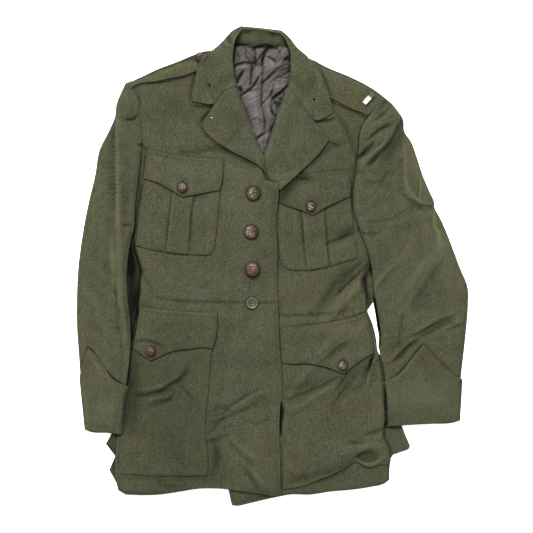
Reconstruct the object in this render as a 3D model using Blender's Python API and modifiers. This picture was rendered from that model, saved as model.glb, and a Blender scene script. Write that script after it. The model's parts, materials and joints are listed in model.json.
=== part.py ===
"""A military dress tunic of wool serge, lying flat on its back with its front closed.

Frame: the origin is the middle of the floor that the tunic covers, +Y runs up the tunic towards
the collar, and +Z is up from the floor. Left is -X and right is +X, as seen from above. The left
front laps over the right one. Tables are in millimetres, and each row is a point (x, y) of a cut
edge, or of a section, in that frame. Every panel is laid on what already lies on the floor.
"""

import math

import bmesh
import bpy
import numpy as np
from mathutils import Vector
from mathutils.bvhtree import BVHTree

MM = 0.001

# Walls of cloth: serge with its canvas or facing, double where a piece is sewn and turned.
SERGE = 2.2
TURNED = 2.0
POCKET_CLOTH = 1.6
SATIN = 1.0
TAPE = 1.0

GAP = 0.5  # between a piece and what it lies on
SEAM = 1.2  # between two pieces sewn edge to edge, in plan
TUCK = 6.0  # how far a lower layer stays inside the rolled edge above it
ROLL = 8.0  # radius of a rolled edge
ROLL_LINES = (2.0, 5.5)  # grid lines close to a rolled edge
FOOT = 1.7  # height of a rolled edge's lip over what it clears
SEAM_DIP = 1.6  # how far a sewn edge sinks into its seam
FADE = 45.0  # distance from an edge over which a panel fills out
ROLLED_START = 12.0  # a rolled edge is as full as another panel is this far inside
SETTLE_PASSES = 3
HARD_TURN = 32.0  # degrees; an outline keeps a corner where it turns more than this
STEPS_PER_ROW = 10
PROBES = 3  # heights of the pile are read this many times across a grid cell

# Usual widths of panels with a rolled edge, which place the grid lines beside it.
FRONT_WIDTH = 240.0
FRONT_LENGTH = 700.0
LAPEL_WIDTH = 70.0
SLEEVE_WIDTHS = {"left": 100.0, "right": 140.0}
CUFF_WIDTHS = {"left": 75.0, "right": 130.0}
UNDER_SLEEVE_STOPS = 2  # grid rows short of the shoulder, where the sleeve is narrow

ARMHOLE_LEFT = ((-222, 211), (-223, 244), (-227, 266), (-226, 278), (-231, 290), (-238, 305))
ARMHOLE_RIGHT = ((146, 198), (147, 218), (152, 237), (163, 254), (181, 275), (193, 285))
UNDERARM_LEFT = 202
UNDERARM_RIGHT = 188

# Edges run left to right and from the hem up.
BACK = {
    "bottom": ((-261, -377), (-208, -381), (-123, -373), (-55, -377), (13, -380), (98, -375),
               (166, -367), (193, -359)),
    "left": ((-261, -377), (-270, -363), (-277, -346), (-267, -322), (-281, -301), (-271, -280),
             (-262, -227), (-256, -142), (-255, -57), (-256, 7), (-248, 65), (-242, 125),
             (-234, 175), (-221, 206), (-218, 244), (-223, 268), (-222, 280), (-233, 308)),
    "right": ((193, -359), (197, -333), (205, -320), (231, -311), (234, -305), (220, -271),
              (202, -219), (188, -163), (178, -142), (171, -115), (162, -90), (161, -75),
              (171, -60), (176, -48), (176, -6), (176, 28), (178, 87), (169, 143), (140, 181),
              (139, 198), (141, 218), (147, 239), (158, 256), (174, 275), (183, 280)),
    "top": ((-233, 308), (-222, 315), (-181, 332), (-140, 350), (-103, 360), (-78, 366),
            (-60, 374), (-41, 377), (-18, 377), (5, 375), (20, 370), (32, 361), (54, 349),
            (98, 330), (132, 315), (166, 296), (183, 280)),
}
LINING = {
    "bottom": ((-18, 174), (-11, 174)),
    "left": ((-18, 174), (-38, 203), (-58, 252), (-74, 303), (-79, 342), (-71, 364)),
    "right": ((-11, 174), (5, 205), (23, 254), (42, 303), (45, 337), (36, 361)),
    "top": ((-71, 364), (-41, 366), (-18, 366), (10, 366), (36, 361)),
}
FRONT_RIGHT = {
    "bottom": ((-69, -406), (-62, -407), (-40, -403), (-19, -398), (13, -391), (30, -388),
               (64, -388), (98, -383), (132, -380), (166, -375), (192, -368), (199, -362)),
    "left": ((-69, -406), (-73, -389), (-72, -312), (-74, -142), (-77, -57), (-77, 28),
             (-74, 104), (-55, 137), (-13, 186), (3, 221), (14, 257), (28, 296), (37, 326),
             (38, 350)),
    "right": ((199, -362), (199, -343), (201, -324), (198, -307), (190, -295), (189, -271),
              (196, -248), (197, -224), (193, -180), (186, -156), (178, -142), (177, -129),
              (170, -97), (161, -74), (157, -40), (154, -23), (163, -5), (172, 24), (180, 62),
              (183, 104), (173, 147), (147, 186))
             + ARMHOLE_RIGHT,
    "top": ((38, 350), (56, 346), (74, 344), (97, 336), (132, 321), (166, 303), (183, 292),
            (193, 285)),
}
FRONT_LEFT = {
    "bottom": ((-249, -388), (-225, -389), (-191, -388), (-157, -383), (-123, -378), (-89, -378),
               (-55, -381), (-21, -385), (7, -390), (15, -389)),
    "left": ((-249, -388), (-262, -380), (-266, -360), (-266, -321), (-263, -287), (-256, -227),
             (-242, -134), (-231, -71), (-228, -40), (-225, -11), (-236, 35), (-230, 87),
             (-221, 147), (-216, 176), (-213, 198)) + ARMHOLE_LEFT + ((-237, 315),),
    "right": ((15, -389), (14, -346), (13, -248), (16, -210), (12, -124), (10, -62), (8, -18),
              (9, 31), (6, 70), (11, 128), (10, 141), (-12, 146), (-22, 180), (-41, 231),
              (-60, 290), (-72, 331), (-74, 356)),
    "top": ((-237, 315), (-223, 321), (-197, 334), (-159, 350), (-128, 361), (-74, 356)),
}
LAPEL_LEFT = {
    "bottom": ((-121, 237), (-106, 220), (-72, 196), (-38, 179), (-18, 166), (-4, 145)),
    "left": ((-121, 237), (-117, 249), (-99, 272)),
    "right": ((-4, 145), (-12, 169), (-15, 187), (-28, 215), (-40, 250), (-53, 286), (-58, 303)),
    "top": ((-99, 272), (-84, 292), (-58, 303)),
}
LAPEL_RIGHT = {
    "bottom": ((-24, 160), (-6, 138), (13, 128), (50, 162), (83, 195), (96, 213)),
    "left": ((-24, 160), (-16, 184), (-7, 210), (4, 245), (18, 286), (26, 304)),
    "right": ((96, 213), (91, 221), (71, 245)),
    "top": ((26, 304), (40, 285), (56, 263), (71, 245)),
}
CHEST_POCKET_LEFT = {
    "bottom": ((-231, 35), (-208, 29), (-172, 23), (-146, 20), (-105, 19)),
    "left": ((-231, 35), (-226, 87), (-216, 147), (-212, 167)),
    "right": ((-105, 19), (-100, 29), (-94, 66), (-90, 111), (-86, 160)),
    "top": ((-212, 167), (-148, 160), (-86, 160)),
}
CHEST_FLAP_LEFT = {
    "bottom": ((-218, 148), (-190, 139), (-164, 124), (-151, 117), (-135, 120), (-88, 129)),
    "left": ((-218, 148), (-211, 198)),
    "right": ((-88, 129), (-84, 150), (-82, 182)),
    "top": ((-211, 198), (-176, 191), (-130, 185), (-82, 182)),
}
CHEST_POCKET_RIGHT = {
    "bottom": ((22, -5), (46, -7), (78, -4), (113, 5), (141, 13)),
    "left": ((22, -5), (15, 7), (12, 29), (11, 75), (14, 130)),
    "right": ((141, 13), (145, 18), (140, 45), (135, 87), (131, 138)),
    "top": ((14, 130), (73, 133), (131, 138)),
}
CHEST_FLAP_RIGHT = {
    "bottom": ((12, 107), (29, 101), (50, 94), (68, 86), (98, 103), (132, 118)),
    "left": ((12, 107), (13, 152)),
    "right": ((132, 118), (132, 140), (125, 165)),
    "top": ((13, 152), (45, 156), (91, 161), (125, 165)),
}
LOWER_POCKET_LEFT = {
    "bottom": ((-258, -351), (-224, -354), (-157, -355), (-111, -355)),
    "left": ((-258, -351), (-260, -321), (-256, -278), (-247, -210), (-235, -134), (-229, -108)),
    "right": ((-111, -355), (-109, -338), (-112, -292), (-113, -261), (-108, -210),
              (-104, -156), (-97, -108)),
    "top": ((-229, -108), (-165, -112), (-97, -108)),
}
LOWER_FLAP_LEFT = {
    "bottom": ((-236, -139), (-227, -145), (-206, -160), (-190, -153), (-170, -144),
               (-142, -140), (-111, -138), (-101, -140)),
    "left": ((-236, -139), (-229, -101), (-224, -67)),
    "right": ((-101, -140), (-95, -122), (-93, -78)),
    "top": ((-224, -67), (-190, -73), (-157, -76), (-93, -78)),
}
LOWER_POCKET_RIGHT = {
    "bottom": ((18, -378), (45, -374), (75, -363), (117, -345), (143, -329), (159, -340),
               (175, -338), (192, -336)),
    "left": ((18, -378), (17, -278), (19, -210), (16, -134)),
    "right": ((192, -336), (186, -295), (185, -244), (179, -193), (173, -146), (168, -120)),
    "top": ((16, -134), (81, -129), (168, -120)),
}
LOWER_FLAP_RIGHT = {
    "bottom": ((16, -163), (29, -165), (60, -165), (92, -171), (121, -182), (139, -167),
               (172, -146)),
    "left": ((16, -163), (14, -103)),
    "right": ((172, -146), (166, -108), (158, -78)),
    "top": ((14, -103), (46, -100), (98, -93), (132, -87), (158, -78)),
}
STRAP_LEFT = {
    "bottom": ((-238, 304), (-222, 310), (-197, 312), (-176, 317), (-146, 323), (-125, 332),
               (-108, 341)),
    "left": ((-238, 304), (-236, 314)),
    "right": ((-108, 341), (-111, 357)),
    "top": ((-236, 314), (-223, 318), (-197, 331), (-159, 347), (-128, 359), (-111, 357)),
}
STRAP_RIGHT = {
    "bottom": ((81, 293), (99, 284), (122, 272), (137, 265), (149, 261), (162, 255)),
    "left": ((81, 293), (74, 330)),
    "right": ((162, 255), (190, 282)),
    "top": ((74, 330), (97, 332), (115, 325), (140, 314), (161, 302), (182, 288), (190, 282)),
}
SLEEVE_LEFT = {
    "outer": ((-317, -277), (-319, -261), (-320, -227), (-325, -193), (-329, -146), (-332, -100),
              (-332, -50), (-330, -6), (-324, 43), (-313, 104), (-301, 155), (-293, 199),
              (-279, 227), (-266, 256), (-264, 274), (-256, 295), (-246, 309)),
    "inner": ((-257, -284), (-254, -261), (-251, -227), (-246, -193), (-240, -146), (-240, -100),
              (-245, -50), (-246, -6), (-239, 45), (-233, 104), (-226, 155), (-224, 199))
             + ARMHOLE_LEFT,
}
SLEEVE_RIGHT = {
    "outer": ((316, -262), (318, -222), (321, -180), (325, -146), (329, -108), (332, -71),
              (331, -32), (321, -8), (307, 29), (295, 60), (279, 94), (268, 125), (254, 159),
              (246, 184), (236, 211), (224, 230), (222, 250), (213, 264), (203, 277)),
    "inner": ((195, -271), (193, -222), (188, -180), (181, -146), (182, -108), (175, -73),
              (171, -37), (169, -6), (160, 28), (148, 60), (137, 94), (135, 125), (140, 157),
              (142, 180)) + ARMHOLE_RIGHT,
}
CUFF_LEFT = {
    "bottom": ((-319, -277), (-310, -281), (-275, -283), (-255, -285)),
    "left": ((-319, -277), (-322, -248), (-325, -220), (-328, -189)),
    "right": ((-255, -285), (-251, -261), (-248, -222), (-244, -204)),
    "top": ((-328, -189), (-319, -156), (-311, -139), (-300, -149), (-284, -172), (-268, -192),
            (-244, -204)),
}
CUFF_RIGHT = {
    "bottom": ((192, -273), (220, -270), (268, -268), (310, -265), (319, -262)),
    "left": ((192, -273), (190, -236), (186, -197)),
    "right": ((319, -262), (321, -227), (323, -192)),
    "top": ((186, -197), (213, -183), (234, -159), (256, -133), (277, -156), (295, -176),
            (323, -192)),
}
SEAM_SHIFT_LEFT = (-SEAM, 0)
SEAM_SHIFT_RIGHT = (SEAM, -0.7 * SEAM)

# Sections round the neck, from the left front end to the right one. Each has its point on the
# roll line, two points down the fall, and one on the outer edge, all (x, y, z). Over the chest
# and shoulders the fall lies on what is there, and behind the neck it turns under the stand.
FALL_SECTIONS = (
    ((-59, 306, 14), (-84, 295, 11), (-99, 274, 10), (-135, 279, 9)),
    ((-62, 315, 16), (-84, 307, 13), (-108, 297, 11), (-135, 293, 9)),
    ((-64, 325, 17), (-86, 321, 14), (-108, 314, 11), (-132, 307, 9)),
    ((-67, 347, 18), (-86, 345, 15), (-106, 343, 12), (-125, 341, 10)),
    ((-66, 366, 18), (-83, 367, 16), (-102, 365, 12), (-119, 364, 8)),
    ((-63, 381, 18), (-78, 386, 13), (-88, 380, 7), (-84, 374, 1)),
    ((-57, 393, 17), (-68, 398, 12), (-71, 393, 6), (-65, 382, 1)),
    ((-50, 401, 16), (-53, 406, 12), (-54, 405, 6), (-50, 386, 1)),
    ((-18, 399, 15), (-18, 403, 11), (-18, 402, 6), (-18, 384, 1)),
    ((12, 394, 16), (15, 400, 12), (16, 399, 6), (11, 382, 1)),
    ((21, 385, 17), (28, 390, 12), (29, 388, 6), (22, 378, 1)),
    ((27, 372, 18), (37, 376, 14), (42, 372, 7), (36, 367, 1)),
    ((31, 359, 18), (43, 360, 15), (58, 357, 11), (70, 352, 8)),
    ((31, 342, 18), (46, 339, 15), (62, 335, 12), (78, 332, 10)),
    ((30, 322, 17), (50, 317, 14), (71, 311, 11), (90, 305, 9)),
    ((28, 313, 16), (47, 302, 13), (73, 290, 11), (98, 283, 9)),
    ((27, 306, 14), (41, 286, 11), (71, 247, 10), (105, 260, 9)),
)
FALL_ON_CLOTH_BELOW_Y = 366

# Stations of the stand behind the neck: seam (x, y, z), then roll line (x, y, z).
STAND_SECTIONS = (
    ((-59, 374, 5), (-56, 385, 11)),
    ((-52, 373, 5), (-50, 396, 12)),
    ((-41, 372, 5), (-40, 398, 12)),
    ((-18, 371, 5), (-18, 396, 12)),
    ((5, 372, 5), (5, 394, 12)),
    ((13, 373, 5), (12, 390, 12)),
    ((20, 373, 5), (18, 381, 11)),
)
LOOP_LINE = ((-35, 374), (-29, 379), (-21, 382), (-11, 382), (-2, 380), (6, 376), (14, 375))
LOOP_WIDTH = 3.5

# The largest folds: where each runs, the half width of its slope, and its height (+) or depth.
FOLDS = {
    # x0, y0, x1, y1, spread, rise
    "front_right": (
        (150, 4, 108, -38, 16, -2.2),
        (108, -38, 70, -88, 16, -2.2),
        (152, -40, 112, -74, 15, 1.6),
        (98, -305, 180, -318, 16, 1.5),
    ),
    "front_left": (
        (-120, -256, -60, -234, 15, 1.5),
        (-60, -234, -34, -214, 15, 1.5),
        (-62, -304, -22, -330, 14, 1.3),
        (-190, 60, -120, 78, 18, 1.0),
    ),
    "sleeve_left": (
        (-262, 215, -262, 60, 12, 1.8),
        (-262, 60, -262, -50, 12, 1.8),
        (-228, 256, -250, 248, 12, -2.4),
        (-248, -70, -250, -190, 11, 1.5),
        (-314, -214, -316, -262, 9, 1.4),
    ),
    "sleeve_right": (
        (214, 246, 196, 210, 13, 3.0),
        (196, 210, 166, 184, 13, 2.6),
        (222, 222, 190, 184, 12, -2.6),
        (250, 112, 276, 106, 12, 1.8),
        (206, 0, 176, -32, 12, 1.8),
        (296, -86, 240, -116, 12, 2.4),
        (246, -122, 200, -161, 12, 2.2),
        (262, -6, 228, -66, 14, 1.6),
    ),
}
BOX_PLEAT = 1.2  # how far a chest pocket's middle pleat stands up
PLEAT_SHARES = (0.38, 0.68)  # where the pleat's two folds are across the pocket
PLEAT_COLUMNS = (0.0, 0.19, 0.37, 0.39, 0.53, 0.67, 0.69, 0.85, 1.0)

# Turned profiles as shares of the radius and the height, from the middle out.
DOME = ((0.0, 1.0), (0.35, 0.96), (0.68, 0.8), (0.9, 0.52), (1.0, 0.24), (0.96, 0.0), (0.0, 0.0))
DISC = ((0.0, 0.62), (0.5, 0.62), (0.72, 0.98), (0.86, 1.0), (1.0, 0.7), (0.96, 0.0), (0.0, 0.0))
LARGE_BUTTON = (24.5, 6.0, 18, DOME)  # across, high, sides, profile
SMALL_BUTTON = (17.0, 4.8, 12, DOME)
PLAIN_BUTTON = (20.0, 3.6, 16, DISC)
BUTTONS = {
    # name: centre x, y, and kind
    "front_button_1": (-32, 124, LARGE_BUTTON),
    "front_button_2": (-36, 58, LARGE_BUTTON),
    "front_button_3": (-34, -5, LARGE_BUTTON),
    "front_button_4": (-34, -62, PLAIN_BUTTON),
    "chest_button_left": (-152, 133, SMALL_BUTTON),
    "chest_button_right": (65, 101, SMALL_BUTTON),
    "lower_button_left": (-206, -143, SMALL_BUTTON),
    "lower_button_right": (119, -167, SMALL_BUTTON),
}
STRAP_BUTTON = (-129, 349, SMALL_BUTTON)

BAR_CENTRE = (163, 284)
BAR_SIZE = (23.0, 8.0, 1.6)
BAR_TURN = 47.0  # degrees from +X
BAR_EDGE = 0.4

COLOURS = {
    # colour, roughness, metallic
    "serge": ((0.080, 0.088, 0.048), 0.92, 0.0),
    "satin": ((0.155, 0.133, 0.125), 0.45, 0.0),
    "bronze": ((0.20, 0.09, 0.05), 0.38, 0.85),
    "plastic": ((0.10, 0.11, 0.07), 0.4, 0.0),
    "enamel": ((0.75, 0.74, 0.70), 0.35, 0.2),
}

tunic = None
pile = []


def clear_scene():
    for obj in list(bpy.data.objects):
        bpy.data.objects.remove(obj, do_unlink=True)


def material_for(name, kind):
    """The object's own material, in the colour of its kind."""
    colour, roughness, metallic = COLOURS[kind]
    material = bpy.data.materials.new(f"{name}_{kind}")
    material.use_nodes = True
    shader = material.node_tree.nodes["Principled BSDF"]
    shader.inputs["Base Color"].default_value = (*colour, 1.0)
    shader.inputs["Roughness"].default_value = roughness
    shader.inputs["Metallic"].default_value = metallic
    return material


def add_object(name, mesh, kind):
    obj = bpy.data.objects.new(name, mesh)
    obj.data.materials.append(material_for(name, kind))
    tunic.objects.link(obj)
    return obj


def add_to_pile(obj):
    """Keeps the finished solid's surface, for what is laid on it later."""
    bpy.context.view_layer.update()
    solid = obj.evaluated_get(bpy.context.evaluated_depsgraph_get())
    mesh = solid.to_mesh()
    points = [solid.matrix_world @ vert.co for vert in mesh.vertices]
    pile.append(BVHTree.FromPolygons(points, [tuple(face.vertices) for face in mesh.polygons]))
    solid.to_mesh_clear()


def top_of_pile(x, y):
    """Height of the highest cloth at a point, in mm, or of the floor."""
    height = 0.0
    for tree in pile:
        hit = tree.ray_cast(Vector((x * MM, y * MM, 1.0)), Vector((0.0, 0.0, -1.0)))[0]
        if hit is not None:
            height = max(height, hit.z / MM)
    return height


def top_near(x, y, reach):
    """Height of the highest cloth at a point and on a ring round it."""
    turns = [math.radians(45 * k) for k in range(8)]
    ring = [(x + reach * math.cos(turn), y + reach * math.sin(turn)) for turn in turns]
    return max(top_of_pile(*place) for place in [(x, y)] + ring)


def rest_heights(plan):
    """The highest point of the pile in the grid cells round each point of the plan."""
    columns, rows = plan.shape[0] - 1, plan.shape[1] - 1
    fine_u = np.linspace(0, columns, columns * PROBES + 1)
    fine_v = np.linspace(0, rows, rows * PROBES + 1)
    i = np.minimum(fine_u.astype(int), columns - 1)
    j = np.minimum(fine_v.astype(int), rows - 1)
    u = (fine_u - i)[:, None, None]
    v = (fine_v - j)[None, :, None]
    near = (1 - v) * plan[i][:, j] + v * plan[i][:, j + 1]
    far = (1 - v) * plan[i + 1][:, j] + v * plan[i + 1][:, j + 1]
    points = (1 - u) * near + u * far
    fine = np.array([[top_of_pile(x, y) for x, y in line[:, :2]] for line in points])
    fine = np.pad(fine, PROBES, mode="edge")
    heights = np.zeros((columns + 1, rows + 1))
    for column, row in np.ndindex(heights.shape):
        a, b = column * PROBES, row * PROBES
        heights[column, row] = fine[a:a + 2 * PROBES + 1, b:b + 2 * PROBES + 1].max()
    return heights


def smooth_line(rows):
    """Dense points through the rows, round at gentle turns, and where the hard turns are."""
    points = np.array(rows, float)
    steps = np.diff(points, axis=0)
    lengths = np.linalg.norm(steps, axis=1)
    ways = steps / lengths[:, None]
    before = np.vstack([ways[:1], ways])
    after = np.vstack([ways, ways[-1:]])
    turns = np.degrees(np.arccos(np.clip((before * after).sum(axis=1), -1, 1)))
    hard = turns > HARD_TURN
    weight = np.concatenate([lengths[:1], lengths])[:, None]
    other = np.concatenate([lengths, lengths[-1:]])[:, None]
    mean = (before * other + after * weight) / (weight + other)
    line = [points[:1]]
    corners = []
    share = np.linspace(0, 1, STEPS_PER_ROW + 1)[1:, None]
    for k, length in enumerate(lengths):
        leave = ways[k] if hard[k] else mean[k]
        arrive = ways[k] if hard[k + 1] else mean[k + 1]
        line.append(
            (2 * share**3 - 3 * share**2 + 1) * points[k]
            + (share**3 - 2 * share**2 + share) * leave * length
            + (3 * share**2 - 2 * share**3) * points[k + 1]
            + (share**3 - share**2) * arrive * length
        )
        if hard[k + 1] and k + 2 < len(points):
            corners.append((k + 1) * STEPS_PER_ROW)
    return np.vstack(line), corners


def stations(rows, shares):
    """Points at the given shares of a line's length, the nearest one moved to each corner."""
    line, corners = smooth_line(rows)
    run = np.concatenate([[0], np.cumsum(np.linalg.norm(np.diff(line, axis=0), axis=1))])
    wanted = np.array(shares) * run[-1]
    for corner in corners:
        nearest = 1 + np.argmin(np.abs(wanted[1:-1] - run[corner]))
        wanted[nearest] = run[corner]
    return np.stack([np.interp(wanted, run, line[:, axis]) for axis in range(line.shape[1])], 1)


def spread(count, width=1.0, close_low=False, close_high=False):
    """Shares of a width: even, with the lines of a rolled edge at the ends that ask for them."""
    low = [0.0] + [line / width for line in ROLL_LINES] if close_low else [0.0]
    high = [1.0 - line / width for line in ROLL_LINES[::-1]] + [1.0] if close_high else [1.0]
    even = np.linspace(low[-1], high[0], count + 1)[1:-1]
    return np.array(low + list(even) + high)


def plan_of(edges, across, along):
    """Plan points of a panel, blended in from its four edges."""
    bottom = stations(edges["bottom"], across)[:, None]
    top = stations(edges["top"], across)[:, None]
    left = stations(edges["left"], along)[None]
    right = stations(edges["right"], along)[None]
    u = across[:, None, None]
    v = along[None, :, None]
    ruled = (1 - v) * bottom + v * top + (1 - u) * left + u * right
    corners = (1 - u) * (1 - v) * bottom[0] + u * (1 - v) * bottom[-1]
    return ruled - corners - (1 - u) * v * top[0] - u * v * top[-1]


def ramp(distance, length):
    share = np.clip(distance / length, 0, 1)
    return share * share * (3 - 2 * share)


def edge_distances(plan):
    """Distance of each plan point from the panel's four edges, along its own grid."""
    return {
        "left": np.linalg.norm(plan - plan[:1], axis=2),
        "right": np.linalg.norm(plan - plan[-1:], axis=2),
        "bottom": np.linalg.norm(plan - plan[:, :1], axis=2),
        "top": np.linalg.norm(plan - plan[:, -1:], axis=2),
    }


def fold_heights(plan, folds):
    """Height that the panel's folds add at each plan point."""
    total = np.zeros(plan.shape[:2])
    for x0, y0, x1, y1, width, rise in folds:
        start = np.array((x0, y0), float)
        run = np.array((x1, y1), float) - start
        share = np.clip(((plan - start) @ run) / (run @ run), 0, 1)
        away = np.linalg.norm(plan - start - share[..., None] * run, axis=2)
        total += rise * np.exp(-((away / width) ** 2))
    return total


def bridge(lowest):
    """Cloth over steps: it touches the high points and slopes between them."""
    height = lowest.copy()
    for _ in range(SETTLE_PASSES):
        padded = np.pad(height, 1, mode="edge")
        around = padded[:-2, 1:-1] + padded[2:, 1:-1] + padded[1:-1, :-2] + padded[1:-1, 2:]
        height = np.maximum(lowest, around / 4)
    return height


def lay(plan, wall, fullness=0.0, rolled=(), sewn=(), sewn_above=math.inf, folds=()):
    """Surface of the outer face of cloth laid on the pile.

    rolled edges curl down to what they rest on. An edge in sewn is held up in its seam above
    the given y, and sinks only a little.
    """
    lowest = rest_heights(plan) + GAP + wall
    distances = edge_distances(plan)
    filled = np.ones(lowest.shape)
    for side, distance in distances.items():
        filled *= ramp(distance + (ROLLED_START if side in rolled else 0.0), FADE)
    height = bridge(lowest) + fullness * filled
    height = np.maximum(height + fold_heights(plan, folds), lowest)
    lines = {"left": np.s_[:1, :], "right": np.s_[-1:, :], "bottom": np.s_[:, :1], "top": np.s_[:, -1:]}
    for side in rolled:
        line = lines[side]
        foot = lowest[line] - wall + FOOT
        if side in sewn:
            foot = np.where(plan[line][..., 1] > sewn_above, height[line] - SEAM_DIP, foot)
        bend = np.clip(1 - distances[side] / ROLL, 0, 1)
        inside = np.maximum(foot + (height - foot) * np.sqrt(1 - bend**2), lowest)
        height = np.where(distances[side] > 0, inside, foot)
    return np.dstack([plan, height])


def add_cloth(name, surface, wall, kind="serge"):
    """A wall of cloth under a grid that is set on the surface of its outer face."""
    columns = surface.shape[0] - 1
    rows = surface.shape[1] - 1
    grid = bmesh.new()
    bmesh.ops.create_grid(grid, x_segments=columns, y_segments=rows, size=0.5)
    for vert in grid.verts:
        column = round((vert.co.x + 0.5) * columns)
        row = round((vert.co.y + 0.5) * rows)
        vert.co = Vector(surface[column, row]) * MM
    mesh = bpy.data.meshes.new(name)
    grid.to_mesh(mesh)
    grid.free()
    mesh.shade_smooth()
    obj = add_object(name, mesh, kind)
    solidify = obj.modifiers.new("Wall", "SOLIDIFY")
    solidify.thickness = wall * MM
    solidify.offset = -1.0
    add_to_pile(obj)
    return obj


def add_flat_piece(name, edges, wall, across, along, kind="serge", rise=None, **laid):
    """A piece that lies flat on the panel under it, such as a pocket, flap or strap."""
    surface = lay(plan_of(edges, across, along), wall, **laid)
    if rise is not None:
        surface[..., 2] += rise[:, None]
    return add_cloth(name, surface, wall, kind)


def add_back_and_lining():
    plan = plan_of(BACK, spread(12), spread(22))
    flat = np.full(plan.shape[:2], TURNED)
    add_cloth("back", np.dstack([plan, flat]), TURNED)
    add_flat_piece("back_lining", LINING, SATIN, spread(8), spread(12), "satin")


def add_front(side, edges, underarm, rolled, inner):
    """One front, full over the chest, with its armhole sewn and its side edge rolled down."""
    across = spread(11, FRONT_WIDTH, close_low="left" in rolled, close_high="right" in rolled)
    plan = plan_of(edges, across, spread(25, FRONT_LENGTH, close_high=True))
    surface = lay(
        plan,
        SERGE,
        fullness=2.6,
        rolled=rolled + ("top",),
        sewn=(inner,),
        sewn_above=underarm,
        folds=FOLDS[f"front_{side}"],
    )
    add_cloth(f"front_{side}", surface, SERGE)


def add_pockets(side, chest, chest_flap, lower, lower_flap):
    pleat_columns = np.array(PLEAT_COLUMNS)
    on_pleat = (pleat_columns > PLEAT_SHARES[0]) & (pleat_columns < PLEAT_SHARES[1])
    pleat = np.where(on_pleat, BOX_PLEAT, 0.0)
    add_flat_piece(f"chest_pocket_{side}", chest, POCKET_CLOTH, pleat_columns, spread(8), rise=pleat)
    add_flat_piece(f"chest_flap_{side}", chest_flap, TURNED, spread(8), spread(4))
    add_flat_piece(f"lower_pocket_{side}", lower, POCKET_CLOTH, spread(9), spread(12))
    add_flat_piece(f"lower_flap_{side}", lower_flap, TURNED, spread(9), spread(4))


def shifted(rows, shift):
    return tuple((x + shift[0], y + shift[1]) for x, y in rows)


def sleeve_edges(edges, armhole, seam_shift):
    """The sleeve's long edges, its armhole edge moved clear of the body by the seam."""
    free = tuple(row for row in edges["inner"] if row not in armhole)
    return edges["outer"], free + shifted(armhole, seam_shift)


def strip(left, right):
    """The four edges of a panel that runs straight across between two long edges."""
    return {"left": left, "right": right, "bottom": (left[0], right[0]), "top": (left[-1], right[-1])}


def add_sleeve(side, edges, armhole, seam_shift, underarm):
    """The under sleeve lies on the floor and the body's edge, and the top sleeve rolls over it."""
    outer, inner = sleeve_edges(edges, armhole, seam_shift)
    inward = 1 if side == "left" else -1
    outer_tucked = shifted(outer, (inward * TUCK, 0))
    inner_tucked = shifted(inner, (-inward * TUCK, 0))
    top = strip(outer, inner) if side == "left" else strip(inner, outer)
    under = strip(outer_tucked, inner_tucked) if side == "left" else strip(inner_tucked, outer_tucked)
    plan = plan_of(under, spread(4), spread(20))
    add_cloth(f"sleeve_{side}_under", lay(plan[:, :-UNDER_SLEEVE_STOPS], TURNED), TURNED)
    plan = plan_of(top, spread(6, SLEEVE_WIDTHS[side], True, True), spread(27))
    surface = lay(
        plan,
        SERGE,
        fullness=2.8,
        rolled=("left", "right"),
        sewn=("right" if side == "left" else "left",),
        sewn_above=underarm,
        folds=FOLDS[f"sleeve_{side}"],
    )
    add_cloth(f"sleeve_{side}_top", surface, SERGE)


def add_cuff(side, edges):
    plan = plan_of(edges, spread(6, CUFF_WIDTHS[side], True, True), spread(5))
    add_cloth(f"cuff_{side}", lay(plan, POCKET_CLOTH, rolled=("left", "right")), POCKET_CLOTH)


def loft(sections, across, along):
    """A surface through sections: smooth along the row of sections, straight across each."""
    tracks = [stations(track, along) for track in zip(*sections)]
    share = np.linspace(0, 1, len(tracks))
    lines = np.stack(tracks)
    columns = np.array([[np.interp(across, share, lines[:, row, axis]) for axis in range(3)]
                        for row in range(len(along))])
    return columns.transpose(2, 0, 1)


def add_collar():
    """The stand shows behind the neck. The fall turns over it and spreads on the shoulders."""
    stand = loft(STAND_SECTIONS, np.linspace(0, 1, 4), spread(12))
    add_cloth("collar_stand", stand[::-1], TURNED)
    fall = loft(FALL_SECTIONS, np.linspace(0, 1, 7), spread(26))[::-1]
    lowest = rest_heights(fall) + GAP + TURNED
    on_cloth = fall[..., 1] < FALL_ON_CLOTH_BELOW_Y
    fall[..., 2] = np.where(on_cloth, np.maximum(fall[..., 2], lowest), fall[..., 2])
    add_cloth("collar_fall", fall, TURNED)


def add_hanger_loop():
    """A tape sewn at both ends to the neck seam."""
    middle = stations(LOOP_LINE, spread(10))
    way = np.gradient(middle, axis=0)
    side = np.stack([-way[:, 1], way[:, 0]], 1) / np.linalg.norm(way, axis=1)[:, None]
    plan = np.stack([middle - side * LOOP_WIDTH / 2, middle + side * LOOP_WIDTH / 2], 1)
    lowest = rest_heights(plan) + GAP + TAPE
    add_cloth("hanger_loop", np.dstack([plan, lowest]), TAPE)


def add_button(name, x, y, kind, colour="bronze"):
    """A turned button on the highest cloth under it."""
    across, high, sides, profile = kind
    radius = across / 2
    base = top_near(x, y, radius) + GAP
    outline = bmesh.new()
    verts = [outline.verts.new((radius * r * MM, 0, high * h * MM)) for r, h in profile]
    for first, second in zip(verts, verts[1:]):
        outline.edges.new((first, second))
    mesh = bpy.data.meshes.new(name)
    outline.to_mesh(mesh)
    outline.free()
    obj = add_object(name, mesh, colour)
    obj.location = (x * MM, y * MM, base * MM)
    screw = obj.modifiers.new("Turn", "SCREW")
    screw.steps = sides
    screw.render_steps = sides
    screw.use_merge_vertices = True
    screw.merge_threshold = 0.00001
    return obj


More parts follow.
